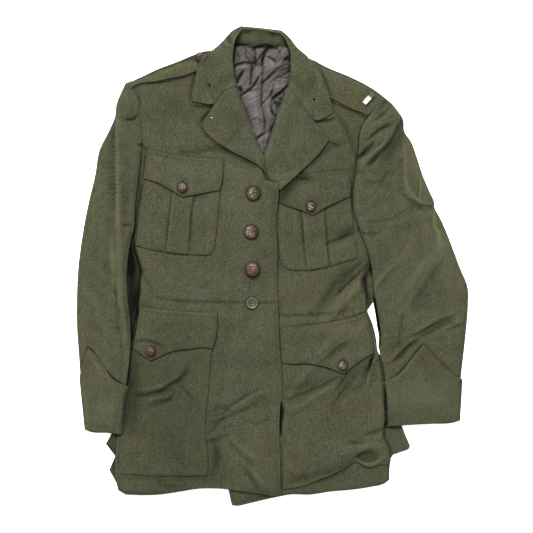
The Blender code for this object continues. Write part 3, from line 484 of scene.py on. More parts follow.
# Creases by piece: half width, height (+) or depth (-), lean if it has one (+ makes its left
# side steeper as it runs), and its line.
CREASES = {
    "front_right": (
        (15, -3.0, 0.2, ((150, 2), (113, -32), (94, -59), (77, -78), (60, -100))),
        (11, 2.6, 0.5, ((164, -24), (128, -54), (104, -80), (84, -100))),
        (4, -1.8, 0.4, ((136, -20), (121, -35), (112, -48))),
        (9, 1.8, 0.3, ((140, 10), (110, -14), (86, -44), (70, -66))),
        (10, 1.4, ((98, -305), (140, -312), (180, -318))),
        (7, 0.9, ((69, -167), (55, -181), (44, -198))),
        (5, -0.8, 0.3, ((99, 209), (111, 207), (126, 211))),
        (18, 1.2, ((60, 250), (100, 230), (140, 222))),
        (9, -0.8, ((100, 190), (120, 180), (142, 160))),
        (5, -0.9, 0.2, ((14, -83), (40, -82), (71, -81), (150, -70))),
    ),
    "front_left": (
        (6, 1.5, 0.6, ((-114, -254), (-80, -243), (-54, -230), (-36, -219), (-12, -210))),
        (5, -1.0, ((-106, -266), (-78, -256), (-52, -244), (-30, -234))),
        (6, 1.0, 0.5, ((-24, -326), (-43, -315), (-66, -298))),
        (5, -0.7, ((-30, -338), (-48, -326), (-66, -312))),
        (6, 1.0, 0.5, ((-18, -376), (-35, -354), (-50, -332))),
        (7, -1.7, 0.4, ((-111, -297), (-96, -293), (-84, -287))),
        (6, -1.0, ((-120, -36), (-107, -30))),
        (7, -1.1, 0.3, ((-150, 192), (-114, 199), (-86, 200), (-64, 190))),
        (12, 1.1, ((-150, 216), (-110, 214), (-80, 206))),
        (6, 0.9, ((-170, -365), (-156, -377))),
        (4, -1.1, 0.2, ((-228, -10), (-221, -6), (-212, -6))),
        (3, -0.8, ((-200, -52), (-175, -56), (-147, -58), (-111, -60), (-44, -61), (8, -62))),
        (16, 1.0, ((-60, 150), (-40, 60), (-50, -40), (-60, -140))),
        (12, -0.8, ((-86, 30), (-70, -40), (-74, -120))),
        (20, 1.0, ((-190, 260), (-150, 290), (-128, 330))),
    ),
    "sleeve_left_top": (
        (6, 2.2, -0.5, ((-263, 252), (-264, 198), (-263, 113), (-262, 40), (-260, -22), (-258, -64),
                        (-253, -84))),
        (8, -1.3, ((-274, 220), (-274, 113), (-276, 40), (-276, -30))),
        (7, 2.0, 0.4, ((-260, -60), (-254, -74), (-247, -117), (-244, -159), (-249, -193))),
        (6, -1.0, ((-262, -90), (-256, -130), (-254, -166))),
        (7, 1.2, 0.2, ((-264, -210), (-271, -244), (-274, -283))),
        (5, 1.3, 0.2, ((-318, -219), (-315, -248), (-312, -278))),
        (4, -1.0, ((-256, 70), (-242, 70))),
        (6, -2.6, 0.3, ((-228, 254), (-240, 250), (-254, 249))),
        (9, -1.2, ((-300, 20), (-280, -6), (-262, -20))),
        (8, 1.0, ((-318, -40), (-296, -70), (-280, -110))),
    ),
    "sleeve_right_top": (
        (12, 3.8, 0.5, ((224, 254), (210, 242), (203, 228), (195, 215), (183, 201), (171, 188),
                        (159, 176), (150, 167))),
        (13, -3.6, -0.3, ((236, 246), (224, 226), (216, 212), (206, 198), (196, 186), (186, 174))),
        (9, 1.5, 0.6, ((210, 262), (196, 256), (182, 246), (172, 238))),
        (4, -1.6, 0.3, ((197, 266), (188, 256), (176, 247))),
        (8, 1.8, 0.6, ((206, 248), (184, 238), (168, 226), (156, 214))),
        (4, -2.2, 0.2, ((200, 239), (183, 233), (170, 223), (158, 213))),
        (4.5, -3.6, ((171, 209), (163, 198), (153, 189), (145, 183))),
        (4, -2.0, 0.3, ((186, 210), (175, 200), (158, 186))),
        (4, -1.8, 0.4, ((179, 187), (171, 177), (163, 171))),
        (8, 1.6, 0.5, ((221, 190), (212, 181), (205, 167), (197, 163), (188, 160), (181, 150),
                       (176, 136))),
        (5, 1.2, -0.4, ((152, 168), (160, 150), (172, 146), (184, 150))),
        (14, 2.2, -0.7, ((222, 236), (224, 181), (226, 138), (231, 118), (246, 106))),
        (6, 2.0, -0.7, ((228, 120), (240, 112), (251, 107), (264, 105), (278, 106))),
        (7, -0.8, ((236, 100), (254, 96), (270, 94))),
        (5, 1.2, ((264, 96), (276, 74), (282, 50))),
        (5, -1.2, ((275, 128), (268, 112), (266, 98))),
        (9, -1.0, ((183, 81), (210, 81), (234, 91))),
        (8, -1.2, 0.3, ((140, 84), (168, 98), (188, 112))),
        (5, -1.6, 0.4, ((136, 60), (160, 54), (180, 56))),
        (6, 1.8, 0.3, ((206, 4), (192, -11), (181, -26), (171, -36))),
        (12, 2.4, 0.4, ((292, 24), (270, 0), (252, -24), (235, -52), (222, -76))),
        (9, -1.8, ((262, -6), (240, -34), (224, -58), (212, -80))),
        (5, 2.2, 0.7, ((304, -82), (284, -92), (266, -100), (252, -108), (234, -117))),
        (5, -2.0, ((300, -94), (280, -104), (262, -113), (246, -120))),
        (4, 1.8, 0.4, ((324, -94), (301, -103))),
        (5, 1.9, 0.6, ((250, -119), (231, -130), (222, -140), (213, -150), (200, -160))),
        (5, -1.6, ((246, -128), (232, -138), (222, -150), (210, -160))),
        (9, 1.4, ((216, 160), (226, 120), (222, 80))),
        (10, -1.2, ((190, 150), (200, 116), (200, 90))),
        (12, 1.4, 0.3, ((310, 20), (296, -20), (300, -60))),
        (10, -1.2, ((250, 70), (246, 30), (258, -6))),
    ),
    "chest_pocket_left": ((5, 0.5, ((-140, 60), (-112, 90), (-100, 104))),),
    "chest_pocket_right": (
        (7, -1.0, 0.4, ((98, 42), (115, 47), (133, 52), (146, 56))),
        (12, 0.8, ((100, 60), (126, 70))),
    ),
    "lower_pocket_left": (
        (4, -1.4, 0.4, ((-225, -216), (-199, -214), (-181, -209), (-169, -198), (-143, -178))),
        (6, 1.1, 0.3, ((-226, -208), (-200, -206), (-182, -200), (-168, -188))),
        (5, 1.0, 0.3, ((-206, -228), (-193, -225), (-177, -220), (-160, -211))),
        (4, -1.0, ((-206, -238), (-190, -234), (-172, -226))),
        (12, 0.8, ((-170, -300), (-140, -320))),
    ),
    "lower_flap_left": ((5, -0.9, 0.3, ((-225, -126), (-208, -125), (-199, -129), (-187, -133))),),
    "lower_pocket_right": (
        (6, 2.2, 0.5, ((182, -146), (170, -163), (166, -177), (162, -200))),
        (6, -1.8, ((172, -150), (160, -166), (156, -184))),
        (5, -1.1, 0.3, ((158, -285), (170, -281), (186, -275))),
        (5, 0.9, 0.3, ((150, -276), (166, -271), (184, -266))),
        (4, -0.8, 0.2, ((126, -297), (142, -298), (159, -300))),
        (10, 3.2, -0.4, ((104, -342), (128, -328), (144, -314), (162, -306), (180, -306))),
        (7, -2.6, ((146, -321), (156, -325), (168, -325), (178, -322))),
        (5, 2.0, ((144, -327), (154, -334), (166, -335), (178, -330))),
        (7, 1.4, 0.3, ((76, -163), (58, -180), (40, -204), (24, -222))),
        (8, -1.4, ((90, -176), (70, -196), (50, -216))),
        (6, 1.6, 0.4, ((17, -228), (30, -240), (44, -236), (70, -222), (96, -206))),
        (6, 1.2, 0.4, ((140, -168), (128, -196), (120, -216))),
        (10, 1.8, ((60, -352), (40, -346), (24, -334))),
    ),
    "lower_flap_right": (
        (6, 1.8, 0.6, ((134, -117), (113, -129), (98, -141), (82, -156))),
        (5, -1.2, ((126, -131), (110, -143), (98, -154))),
        (6, 1.2, 0.3, ((165, -96), (150, -106), (140, -120))),
    ),
    "collar_fall": (
        (5, 1.8, ((-86, 384), (-78, 378), (-70, 370))),
        (5, -2.4, ((-72, 388), (-74, 380), (-68, 374))),
        (8, 0.9, ((-110, 330), (-90, 300), (-96, 285))),
    ),
    "lapel_left": ((10, 0.8, ((-60, 210), (-44, 236), (-56, 266))),),
    "lapel_right": ((12, 0.8, ((20, 160), (40, 200), (40, 240))),),
    "back_lining": (
        (2.4, -2.4, 0.3, ((-69, 334), (-64, 339), (-55, 343), (-46, 346), (-32, 344))),
        (5, 1.6, 0.5, ((-66, 330), (-54, 336), (-42, 338))),
        (1.8, -2.2, 0.3, ((-33, 362), (-33, 347), (-36, 334), (-34, 320), (-38, 304))),
        (1.8, -2.0, -0.4, ((-30, 341), (-21, 354), (-11, 366))),
        (2.2, -3.2, 0.3, ((-16, 342), (-14, 356), (-10, 364), (-3, 376))),
        (1.8, -2.0, 0.4, ((-8, 355), (1, 353), (9, 344))),
        (2.0, -2.6, 0.4, ((-17, 310), (-4, 324), (10, 336), (24, 343))),
        (1.7, -1.8, ((-16, 342), (-16, 325), (-17, 308), (-18, 291), (-19, 272))),
        (1.7, -1.5, ((-14, 276), (-12, 249), (-13, 225), (-14, 196))),
        (2.0, -2.2, 0.4, ((-61, 308), (-55, 320), (-49, 330))),
        (2.6, -3.4, ((-55, 303), (-53, 300), (-52, 296))),
        (1.9, -2.4, 0.4, ((-52, 290), (-41, 298), (-33, 307), (-24, 317), (-18, 328))),
        (1.9, -2.0, 0.4, ((-17, 276), (-7, 286), (0, 295), (2, 306))),
        (2.3, -3.0, 0.4, ((3, 286), (13, 293), (20, 300), (27, 305))),
        (2.0, -2.6, 0.4, ((0, 284), (10, 285), (19, 282))),
        (5, -2.0, ((6, 280), (8, 272), (9, 264))),
        (1.9, -2.4, 0.3, ((-1, 276), (1, 266), (8, 255))),
        (2.0, -2.6, 0.3, ((-27, 215), (-19, 221), (-13, 226))),
        (1.8, -1.8, 0.3, ((18, 346), (24, 350), (32, 346))),
        (1.9, -2.0, 0.3, ((16, 323), (24, 328), (33, 330))),
        (1.7, -1.6, ((4, 318), (14, 321), (26, 318))),
        (1.7, -1.6, ((-46, 360), (-44, 352), (-38, 346))),
        (1.7, -1.5, 0.3, ((-44, 366), (-38, 360), (-30, 352))),
        (1.7, -1.6, ((12, 366), (14, 356), (12, 346))),
        (1.7, -1.6, ((-58, 362), (-56, 352), (-60, 344))),
        (5, 1.8, 0.4, ((-44, 362), (-40, 354), (-42, 347))),
        (5, 1.8, -0.4, ((-28, 330), (-24, 318), (-34, 300))),
        (6, 2.2, 0.4, ((-26, 300), (-27, 270), (-22, 240), (-18, 215))),
        (5, 1.6, ((-38, 276), (-34, 252), (-26, 232))),
        (5, 1.7, 0.4, ((-12, 334), (0, 341), (12, 342))),
        (4, 1.6, ((-8, 312), (2, 320), (16, 332))),
        (4, 1.5, ((-24, 366), (-20, 358), (-26, 348))),
        (5, 1.8, ((-6, 262), (-4, 240), (-8, 214))),
        (4, 1.5, 0.3, ((-6, 296), (4, 300), (14, 306))),
    ),
}

# Painted tones by piece, laid out like the creases: + is paler, partly sun-bleaching and rubbing
# and partly painted highlight, and - is painted shade in gaps, creases and under edges
PAINTED_TONES = {
    "back": (
        (10, -1.0, ((-240, 40), (-239, 7), (-239, -23), (-239, -57), (-239, -91), (-240, -134))),
        (5, -0.7, ((-240, 35), (-241, 14), (-241, -10))),
        (4, -0.7, ((-230, 7), (-227, -15), (-228, -44), (-232, -71))),
        (5, -0.6, ((-240, -142), (-247, -202), (-252, -270))),
        (5, -1.1, ((159, -10), (156, -30), (161, -54), (166, -67))),
        (4, -1.3, ((169, 7), (169, -3), (168, -13))),
        (9, -0.55, ((-274, -292), (-276, -305), (-273, -321), (-273, -346))),
    ),
    "front_left": (
        (3.2, -1.6, ((-231, 70), (-236, 45), (-234, 28), (-228, 7), (-225, -10), (-227, -27),
                     (-227, -44), (-230, -61), (-231, -79), (-236, -95), (-239, -125))),
        (2.6, -0.4, ((-220, 181), (-221, 155), (-223, 133))),
        (15, -0.75, ((-220, -71), (-227, -134))),
        (3.2, -1.3, ((-224, 138), (-227, 116), (-230, 96), (-232, 75))),
        (4.2, -0.95, ((-239, -134), (-241, -163), (-244, -202), (-247, -236), (-249, -278))),
        (2.8, -0.55, ((-129, 347), (-129, 332), (-134, 317), (-137, 303), (-139, 290),
                      (-138, 279))),
        (2.6, -0.85, ((-135, 273), (-123, 271), (-113, 270), (-101, 270))),
        (3.2, -0.75, ((-101, 271), (-109, 262), (-118, 251), (-124, 242))),
        (3.2, -0.55, ((-123, 235), (-113, 223), (-86, 200), (-62, 188), (-38, 176), (-18, 164),
                      (-7, 147))),
        (6, -0.16, ((-75, 189), (-46, 176), (-24, 164))),
        (5, -0.2, ((-228, 295), (-227, 278), (-227, 261), (-232, 250))),
        (2.8, -0.4, ((-223, -6), (-211, -27), (-205, -40))),
        (2.6, -0.85, ((-237, 301), (-222, 308), (-205, 310), (-188, 312), (-160, 318), (-140, 324),
                      (-125, 330))),
        (3.0, -0.28, ((-160, 194), (-131, 193), (-103, 198), (-79, 194))),
        (2.6, -0.45, ((-147, 184), (-126, 182), (-106, 182))),
        (2.6, -0.32, ((-199, -52), (-174, -57), (-140, -61), (-97, -61), (-48, -62))),
        (2.6, -0.3, ((-24, -62), (-7, -61), (8, -61))),
        (2.6, -0.45, ((-109, -253), (-86, -248), (-69, -236), (-55, -227), (-40, -217))),
        (3.5, 0.16, ((-106, -260), (-82, -253), (-62, -239), (-38, -224))),
        (2.8, -0.3, ((-101, -234), (-86, -239), (-70, -243))),
        (2.8, -0.4, ((-109, -283), (-97, -271), (-82, -254))),
        (2.6, -0.35, ((-46, -261), (-26, -266), (-1, -256))),
        (7, -0.55, ((-99, -297), (-94, -317), (-99, -346))),
        (2.7, -0.32, ((-69, -300), (-52, -317), (-33, -334))),
        (2.8, -0.55, ((-45, -339), (-35, -356), (-23, -373))),
        (4, 0.12, ((-58, -299), (-41, -316), (-24, -331))),
        (4, 0.22, ((-35, -341), (-23, -358), (-12, -372))),
        (5, -0.22, ((-72, -103), (-50, -91), (-28, -78))),
        (4, -0.18, ((-69, -207), (-55, -183), (-45, -169))),
        (3, -0.2, ((-14, -159), (5, -169))),
        (7, -0.22, ((-199, -370), (-177, -373), (-150, -370))),
        (3, -0.35, ((-259, -358), (-191, -360), (-114, -360))),
        (3, 0.18, ((-7, 62), (-18, 36), (-38, 24))),
        (10, -0.1, ((-160, 291), (-177, 262), (-191, 223))),
        (2.8, -0.6, ((-215, 322), (-194, 332), (-174, 341), (-157, 347), (-140, 351), (-128, 351))),
        (5, -0.4, ((-147, 354), (-130, 360), (-113, 364), (-103, 366))),
    ),
    "shoulder_strap_left": (
        (2.2, -0.6, ((-208, 325), (-191, 333), (-174, 340), (-157, 346), (-140, 350), (-126, 349))),
        (3, 0.2, ((-208, 318), (-182, 330), (-154, 341), (-130, 344))),
    ),
    "chest_pocket_left": (
        (2.0, -0.5, ((-171, 116), (-174, 92), (-177, 69), (-179, 45), (-181, 28))),
        (2.2, -0.5, ((-131, 118), (-137, 99), (-138, 75), (-140, 45), (-143, 24))),
        (4, -0.16, ((-130, 116), (-148, 96), (-171, 75))),
        (5, -0.12, ((-227, 104), (-228, 70), (-232, 40))),
    ),
    "lower_pocket_left": (
        (3.2, -0.55, ((-225, -219), (-208, -215), (-188, -209), (-171, -198), (-157, -193))),
        (5, -0.42, ((-162, -200), (-150, -183), (-142, -163))),
        (3.2, -0.5, ((-208, -232), (-191, -227), (-174, -224), (-164, -212))),
        (6, -0.3, ((-191, -215), (-171, -210))),
        (2.6, -0.3, ((-155, -202), (-143, -215), (-131, -226))),
        (3.5, 0.2, ((-208, -222), (-188, -217), (-174, -212))),
        (4, 0.14, ((-208, -207), (-182, -198))),
        (18, -0.12, ((-171, -295), (-157, -329))),
        (3, -0.35, ((-240, -146), (-244, -202))),
        (5, -0.4, ((-242, -152), (-245, -202), (-250, -278))),
        (14, -0.5, ((-232, -125), (-235, -202), (-239, -278))),
    ),
    "lower_flap_left": (
        (3, -0.45, ((-237, -127), (-216, -125), (-198, -129), (-182, -135))),
        (4, -0.45, ((-235, -84), (-237, -108), (-239, -134))),
        (2.2, -0.3, ((-227, -67), (-174, -73), (-123, -76), (-96, -77))),
        (2.2, 0.4, ((-208, -73), (-165, -77), (-123, -80), (-97, -80))),
        (20, -0.1, ((-208, -100), (-123, -108))),
    ),
    "shoulder_strap_right": (
        (2.6, -0.6, ((74, 346), (81, 334), (88, 318), (95, 301), (100, 286))),
    ),
    "lapel_left": (
        (5, -0.22, ((-40, 252), (-55, 233), (-86, 199))),
        (3.5, 0.16, ((-113, 252), (-99, 269), (-86, 288))),
        (3, 0.2, ((-113, 228), (-86, 208), (-55, 191))),
        (3, -0.35, ((-18, 181), (-12, 164), (-7, 150))),
    ),
    "lapel_right": (
        (4, -0.18, ((56, 235), (78, 225), (91, 218))),
        (3, 0.18, ((91, 205), (64, 179), (33, 150))),
        (5, -0.1, ((47, 269), (67, 245))),
    ),
    "sleeve_left_top": (
        (2.2, 0.5, -0.1, ((-264, 250), (-263, 198), (-262, 138), (-261, 87), (-258, 36),
                          (-257, 7))),
        (7, -0.24, ((-273, 239), (-273, 198), (-273, 164), (-276, 137))),
        (4, -0.3, ((-269, 245), (-270, 225), (-272, 208))),
        (4.5, 0.34, ((-276, 58), (-273, 28), (-269, -6), (-264, -35), (-260, -66))),
        (6, 0.22, ((-267, 104), (-269, 53), (-267, 14), (-264, -20))),
        (2.2, -0.5, ((-267, -30), (-266, -42), (-263, -59), (-257, -78))),
        (2.4, -0.75, 0.3, ((-249, 249), (-237, 250), (-227, 259))),
        (5, -0.2, ((-252, 245), (-228, 247))),
        (2.2, -0.4, ((-256, 69), (-240, 69))),
        (2.4, -1.5, ((-313, -137), (-305, -144), (-296, -159), (-284, -176), (-271, -189),
                     (-252, -201))),
        (2.2, -0.4, ((-313, -138), (-323, -166), (-328, -188))),
        (2.2, -0.35, ((-223, 194), (-230, 130), (-233, 87), (-240, 45), (-245, 7), (-246, -40),
                      (-242, -83), (-239, -134), (-247, -202))),
        (16, 0.1, ((-296, -108), (-286, -159))),
        (10, -0.12, ((-245, 198), (-247, 113), (-254, 45))),
    ),
    "cuff_left": (
        (4, 0.2, ((-320, -207), (-315, -241), (-312, -273))),
        (3, 0.08, ((-274, -203), (-271, -241), (-271, -278))),
        (22, 0.15, ((-293, -193), (-286, -270))),
        (3.0, -0.6, ((-249, -210), (-252, -248), (-257, -282))),
        (2.4, 0.3, ((-312, -146), (-303, -158), (-293, -175), (-276, -193))),
    ),
    "sleeve_right_top": (
        (13, -0.3, ((219, 239), (214, 216), (205, 194), (195, 174), (186, 154))),
        (4.2, -0.72, ((171, 208), (159, 198), (151, 189), (141, 184))),
        (2.5, -0.6, ((198, 239), (183, 230), (163, 215))),
        (2.4, -0.4, ((198, 269), (185, 257), (171, 245))),
        (2.2, -0.3, ((190, 273), (176, 259))),
        (4, -0.48, ((220, 250), (212, 235), (202, 216), (190, 199), (178, 188), (163, 172))),
        (3, -0.25, ((192, 205), (173, 188), (161, 172))),
        (2.2, -0.08, ((217, 125), (231, 116), (243, 106), (258, 101), (273, 99))),
        (2.0, 0.55, ((226, 167), (227, 143), (233, 126), (243, 116), (253, 109), (273, 105))),
        (2.2, -0.35, ((248, 145), (246, 116))),
        (2.2, 0.5, ((252, 148), (250, 116))),
        (2.2, -1.0, ((141, 184), (138, 150), (135, 121), (137, 89), (146, 62), (156, 35),
                     (166, 7))),
        (4, -0.5, ((142, 215), (142, 181), (139, 154))),
        (3, 0.12, ((215, 252), (205, 233), (193, 215), (178, 198), (159, 182))),
        (4, 0.1, ((183, 271), (159, 245), (149, 223))),
        (3, 0.12, ((193, 250), (169, 228))),
        (14, 0.28, ((237, 215), (246, 172), (260, 126))),
        (2.2, 0.3, ((224, 215), (224, 194), (226, 167))),
        (2.0, 0.6, ((275, 101), (275, 86), (274, 69), (282, 57), (282, 40))),
        (5, 0.34, ((280, 58), (288, 38), (278, 26))),
        (2.2, -0.45, ((156, 75), (183, 77), (205, 80), (217, 91), (234, 99))),
        (12, -0.16, ((193, 62), (217, 65), (243, 69))),
        (4, 0.22, ((231, 33), (209, 7), (183, -20), (171, -40))),
        (8, 0.2, ((265, 14), (244, -15), (217, -54))),
        (9, -0.18, ((278, 1), (261, -30), (241, -61))),
        (4, -0.2, ((234, 69), (220, 28), (197, -3), (180, -23))),
        (2.4, -0.36, ((224, -71), (217, -105), (214, -129))),
        (9, 0.22, ((229, -71), (234, -100))),
        (2.4, -0.55, ((237, -115), (251, -110), (268, -100), (285, -90), (299, -84))),
        (5, -0.22, ((244, -120), (268, -112), (292, -96))),
        (2.4, -0.38, ((297, -107), (311, -100), (321, -95))),
        (2.4, -0.6, ((241, -127), (226, -137), (212, -151), (203, -161))),
        (7, -0.24, ((185, -132), (203, -137), (224, -127))),
        (2.2, -0.8, ((190, -197), (200, -192), (210, -185), (222, -173), (234, -158), (246, -141),
                     (254, -132))),
        (2.2, -0.4, ((258, -132), (285, -161), (314, -186))),
        (3, -0.6, ((171, -44), (176, -78), (181, -105), (181, -134))),
        (2.8, -1.4, ((178, -146), (185, -169), (188, -200))),
        (20, 0.14, ((295, 53), (311, -15), (305, -74))),
        (24, 0.1, ((192, 113), (217, 28), (209, -40))),
    ),
    "sleeve_right_under": (
        (5, -1.6, ((169, 14), (169, -3), (169, -18))),
        (9, -1.5, ((169, -44), (173, -67), (178, -91), (181, -115), (181, -142))),
    ),
    "cuff_right": (
        (26, 0.24, ((217, -227), (260, -224), (299, -227))),
        (2.8, -1.4, ((190, -200), (192, -236), (193, -270))),
        (2.4, 0.25, ((203, -195), (224, -178), (239, -156), (253, -139))),
    ),
    "front_right": (
        (2.2, -3.0, ((14, -231), (15, -244), (14, -261))),
        (1.4, -3.0, ((14, -261), (14, -287))),
        (5, -0.55, ((27, 137), (47, 156), (71, 179), (95, 203))),
        (2.6, -0.55, ((98, 210), (105, 206), (113, 205))),
        (3, -0.8, ((166, 7), (156, -13), (152, -25), (156, -44))),
        (5, -0.34, ((110, 256), (124, 235), (135, 206), (142, 181))),
        (7, -0.25, ((16, 113), (15, 62), (16, 11))),
        (2.6, -0.45, ((78, 344), (86, 320), (96, 296), (103, 273), (107, 259))),
        (2.6, -0.8, ((107, 252), (96, 248), (83, 246), (71, 244))),
        (2.6, -0.7, ((98, 281), (108, 275), (124, 268), (139, 262), (152, 256), (161, 250))),
        (4, -0.35, ((135, 172), (135, 150), (132, 121))),
        (12, -0.2, ((124, 7), (107, -20), (84, -57))),
        (2.8, -0.65, ((164, 7), (151, -6), (135, -23), (124, -33), (113, -45))),
        (2.8, -0.45, ((152, 9), (135, -6), (117, -27))),
        (5, -0.45, ((144, 58), (152, 69))),
        (5, 0.25, ((159, -10), (144, -28), (132, -50), (129, -67))),
        (2.6, -0.35, ((15, -83), (47, -83), (81, -81), (124, -79))),
        (2.6, -0.55, ((124, -88), (142, -83), (161, -74))),
        (3, -0.4, ((47, -377), (81, -365), (124, -346))),
        (4, -0.25, ((81, -360), (118, -353))),
    ),
    "chest_flap_right": (
        (12, -0.8, ((54, 160), (35, 145), (18, 123), (11, 104))),
        (6, -0.25, ((47, 150), (67, 145))),
        (3, -0.32, ((42, 150), (61, 148), (81, 145))),
        (3, -0.18, ((84, 150), (105, 142), (125, 133))),
        (2.4, -0.35, ((42, 154), (81, 160), (124, 163))),
    ),
    "chest_pocket_right": (
        (2.2, -0.5, ((49, 91), (50, 69), (52, 40), (57, 4))),
        (2.2, -0.42, ((86, 94), (90, 69), (93, 35), (96, 1))),
        (3, -0.55, 0.2, ((90, 39), (110, 46), (129, 54), (146, 58))),
        (8, -0.5, ((110, 52), (127, 60), (147, 69))),
        (9, -0.2, ((52, 45), (78, 55), (107, 62))),
        (5, 0.16, ((95, 28), (124, 38), (142, 45))),
        (9, -0.1, ((27, 70), (30, 28))),
    ),
    "lower_flap_right": (
        (2.2, -0.6, ((15, -102), (47, -101), (81, -96), (115, -90), (142, -83), (159, -78))),
        (2.2, 0.3, ((16, -105), (47, -105), (81, -100), (115, -94), (139, -88))),
        (3, -0.35, ((129, -113), (112, -125), (95, -139), (79, -154))),
        (5, 0.2, ((124, -101), (98, -124), (74, -149))),
        (14, -0.14, ((30, -122), (78, -122))),
        (12, 0.1, ((132, -117), (152, -108))),
        (3, -0.22, ((57, -159), (47, -166))),
    ),
    "lower_pocket_right": (
        (2.8, -3.0, ((15, -231), (16, -244), (15, -261))),
        (1.8, -3.0, ((15, -261), (14, -288))),
        (3.0, -0.55, ((113, -185), (91, -198), (66, -209), (44, -218), (28, -225))),
        (7, -0.3, ((98, -188), (67, -197), (40, -203), (20, -207))),
        (2.6, -0.35, ((15, -219), (28, -225))),
        (3, 0.2, ((108, -200), (73, -217), (40, -231))),
        (9, -0.34, ((149, -168), (129, -190), (112, -217))),
        (2.8, -0.42, ((137, -169), (122, -188), (108, -207))),
        (2.8, -0.4, ((127, -200), (113, -219), (101, -237))),
        (3.2, -1.0, ((173, -149), (166, -161), (161, -175), (158, -188))),
        (3, 0.35, ((164, -156), (161, -173), (161, -190))),
        (2.8, -0.4, ((159, -190), (151, -200), (139, -207))),
        (2.8, -0.5, ((168, -152), (166, -169), (163, -180))),
        (4, -0.16, ((120, -220), (105, -244), (91, -268))),
        (10, 0.16, ((180, -202), (183, -244), (185, -288))),
        (2.4, -0.3, ((124, -298), (141, -298), (159, -300))),
        (2.4, -0.3, ((159, -284), (171, -281), (190, -273))),
        (9, -0.3, ((33, -365), (74, -351), (115, -333), (142, -316))),
        (3, -0.35, ((47, -356), (54, -350), (59, -360))),
        (3, 0.4, ((20, -377), (47, -371), (76, -361), (115, -344), (135, -334))),
        (6, -0.42, ((151, -324), (164, -321), (178, -324))),
        (2.6, -0.5, ((142, -324), (151, -316), (166, -312))),
        (2.4, 0.55, ((146, -328), (154, -337), (166, -339), (175, -334), (183, -324))),
        (4, 0.2, ((146, -305), (166, -300), (188, -307))),
        (2.6, 0.25, ((176, -338), (197, -336))),
        (3, -0.8, ((181, -152), (186, -176), (190, -207), (192, -244), (193, -275))),
    ),
    "collar_fall": (
        (2.4, -0.6, ((-87, 378), (-79, 371), (-69, 369))),
        (5, 0.28, ((-86, 375), (-74, 369))),
        (2.2, -0.38, ((73, 247), (56, 262), (42, 279), (32, 295))),
        (2.2, -0.38, ((-99, 274), (-94, 281), (-86, 293))),
        (3, 0.18, ((-130, 286), (-130, 310), (-120, 337))),
        (4, 0.14, ((33, 368), (37, 341), (33, 310))),
    ),
    "collar_stand": (
        (5, -0.45, ((-60, 392), (-62, 378))),
        (5, -0.45, ((20, 388), (27, 375))),
        (2.6, -0.9, ((-58, 373), (-35, 372), (-7, 373), (23, 371))),
        (3.2, 1.1, ((-50, 400), (-28, 399), (-4, 398), (11, 395))),
    ),
    "back_lining": (
        (2.4, -1.7, ((-69, 335), (-60, 342), (-50, 344), (-38, 345), (-26, 341))),
        (2.3, -1.4, ((-31, 375), (-29, 354), (-35, 334), (-38, 310))),
        (2.8, -2.0, ((-18, 344), (-16, 356), (-11, 366), (-1, 373))),
        (2.1, -1.1, ((-35, 330), (-24, 351), (-12, 366))),
        (2.5, -1.6, ((-62, 310), (-55, 324), (-50, 332))),
        (3.0, -2.0, ((-57, 303), (-52, 298))),
        (2.3, -1.7, ((-53, 291), (-41, 298), (-31, 308), (-24, 320))),
        (2.0, -1.1, ((-16, 334), (-18, 300), (-18, 273), (-14, 249), (-12, 227))),
        (2.3, -1.6, ((-16, 312), (-4, 322), (10, 332), (23, 337))),
        (2.0, -1.2, ((-4, 290), (1, 303))),
        (2.5, -1.8, ((-1, 286), (11, 293), (27, 305))),
        (4.5, -1.2, ((1, 281), (10, 276), (8, 264))),
        (2.2, -1.5, ((13, 286), (15, 271), (10, 257))),
        (2.2, -1.3, ((-4, 271), (1, 259), (8, 254))),
        (3.8, -2.0, ((28, 313), (22, 291), (13, 262), (5, 240), (-4, 215), (-11, 194))),
        (2.4, -1.5, ((-7, 228), (1, 239))),
        (2.3, -1.3, ((-29, 218), (-21, 222), (-14, 227))),
        (3.2, -1.6, ((30, 371), (32, 347), (28, 325))),
        (3.8, -1.5, ((-65, 371), (-69, 354), (-69, 334))),
        (2.2, -1.1, ((-9, 356), (-1, 352), (8, 344))),
        (2.5, -1.3, ((20, 351), (30, 356))),
        (8, -0.55, ((-55, 286), (-45, 262), (-35, 232))),
        (9, -0.5, ((27, 368), (28, 337), (22, 303))),
        (10, -0.25, ((-62, 364), (-62, 341), (-55, 317))),
        (1.9, -1.0, ((-33, 249), (-26, 252), (-18, 245))),
        (1.9, -1.0, ((-43, 301), (-35, 298), (-24, 301))),
        (1.9, -1.0, ((-24, 344), (-14, 337), (-4, 341))),
        (1.9, -0.9, ((6, 351), (11, 364), (18, 369))),
        (1.9, -0.9, ((-46, 368), (-43, 356), (-36, 349))),
        (6, 0.45, ((-33, 303), (-28, 269), (-19, 223))),
        (4, 0.25, ((-55, 330), (-45, 317))),
        (4, 0.25, ((-31, 364), (-41, 356))),
        (3, 0.2, ((-7, 334), (3, 341))),
        (2.4, -1.2, ((-62, 375), (-38, 373), (-14, 372), (23, 373))),
    ),
}

# Broad patches of painted light and shade, with sun-bleaching on the sleeves, on any piece: centre,
# reach both ways, and amount as above
PATCHES = (
    (-165, -250, 70, 130, -0.24),
    (-175, 270, 60, 60, -0.06),
    (110, 150, 50, 90, -0.10),
    (-80, 130, 90, 60, 0.04),
    (-290, -100, 50, 120, 0.02),
    (262, 60, 60, 60, 0.07),
    (80, -60, 60, 50, 0.05),
)

# Seams that the light reaches into: x, y, reach_x, reach_y
LIT_SEAMS = ((-227, 240, 14, 74), (-74, 300, 18, 16), (64, 268, 20, 36), (17, -200, 7, 120))

# Seams that hardly sink, by piece: how far, and over what distance from the edge
SOFT_SEAMS = {
    "front_left": (0.0, 6.0),
    "sleeve_left_top": (0.2, 16.0),
    "lapel_left": (0.1, 2.0),
    "lapel_right": (0.3, 2.5),
}

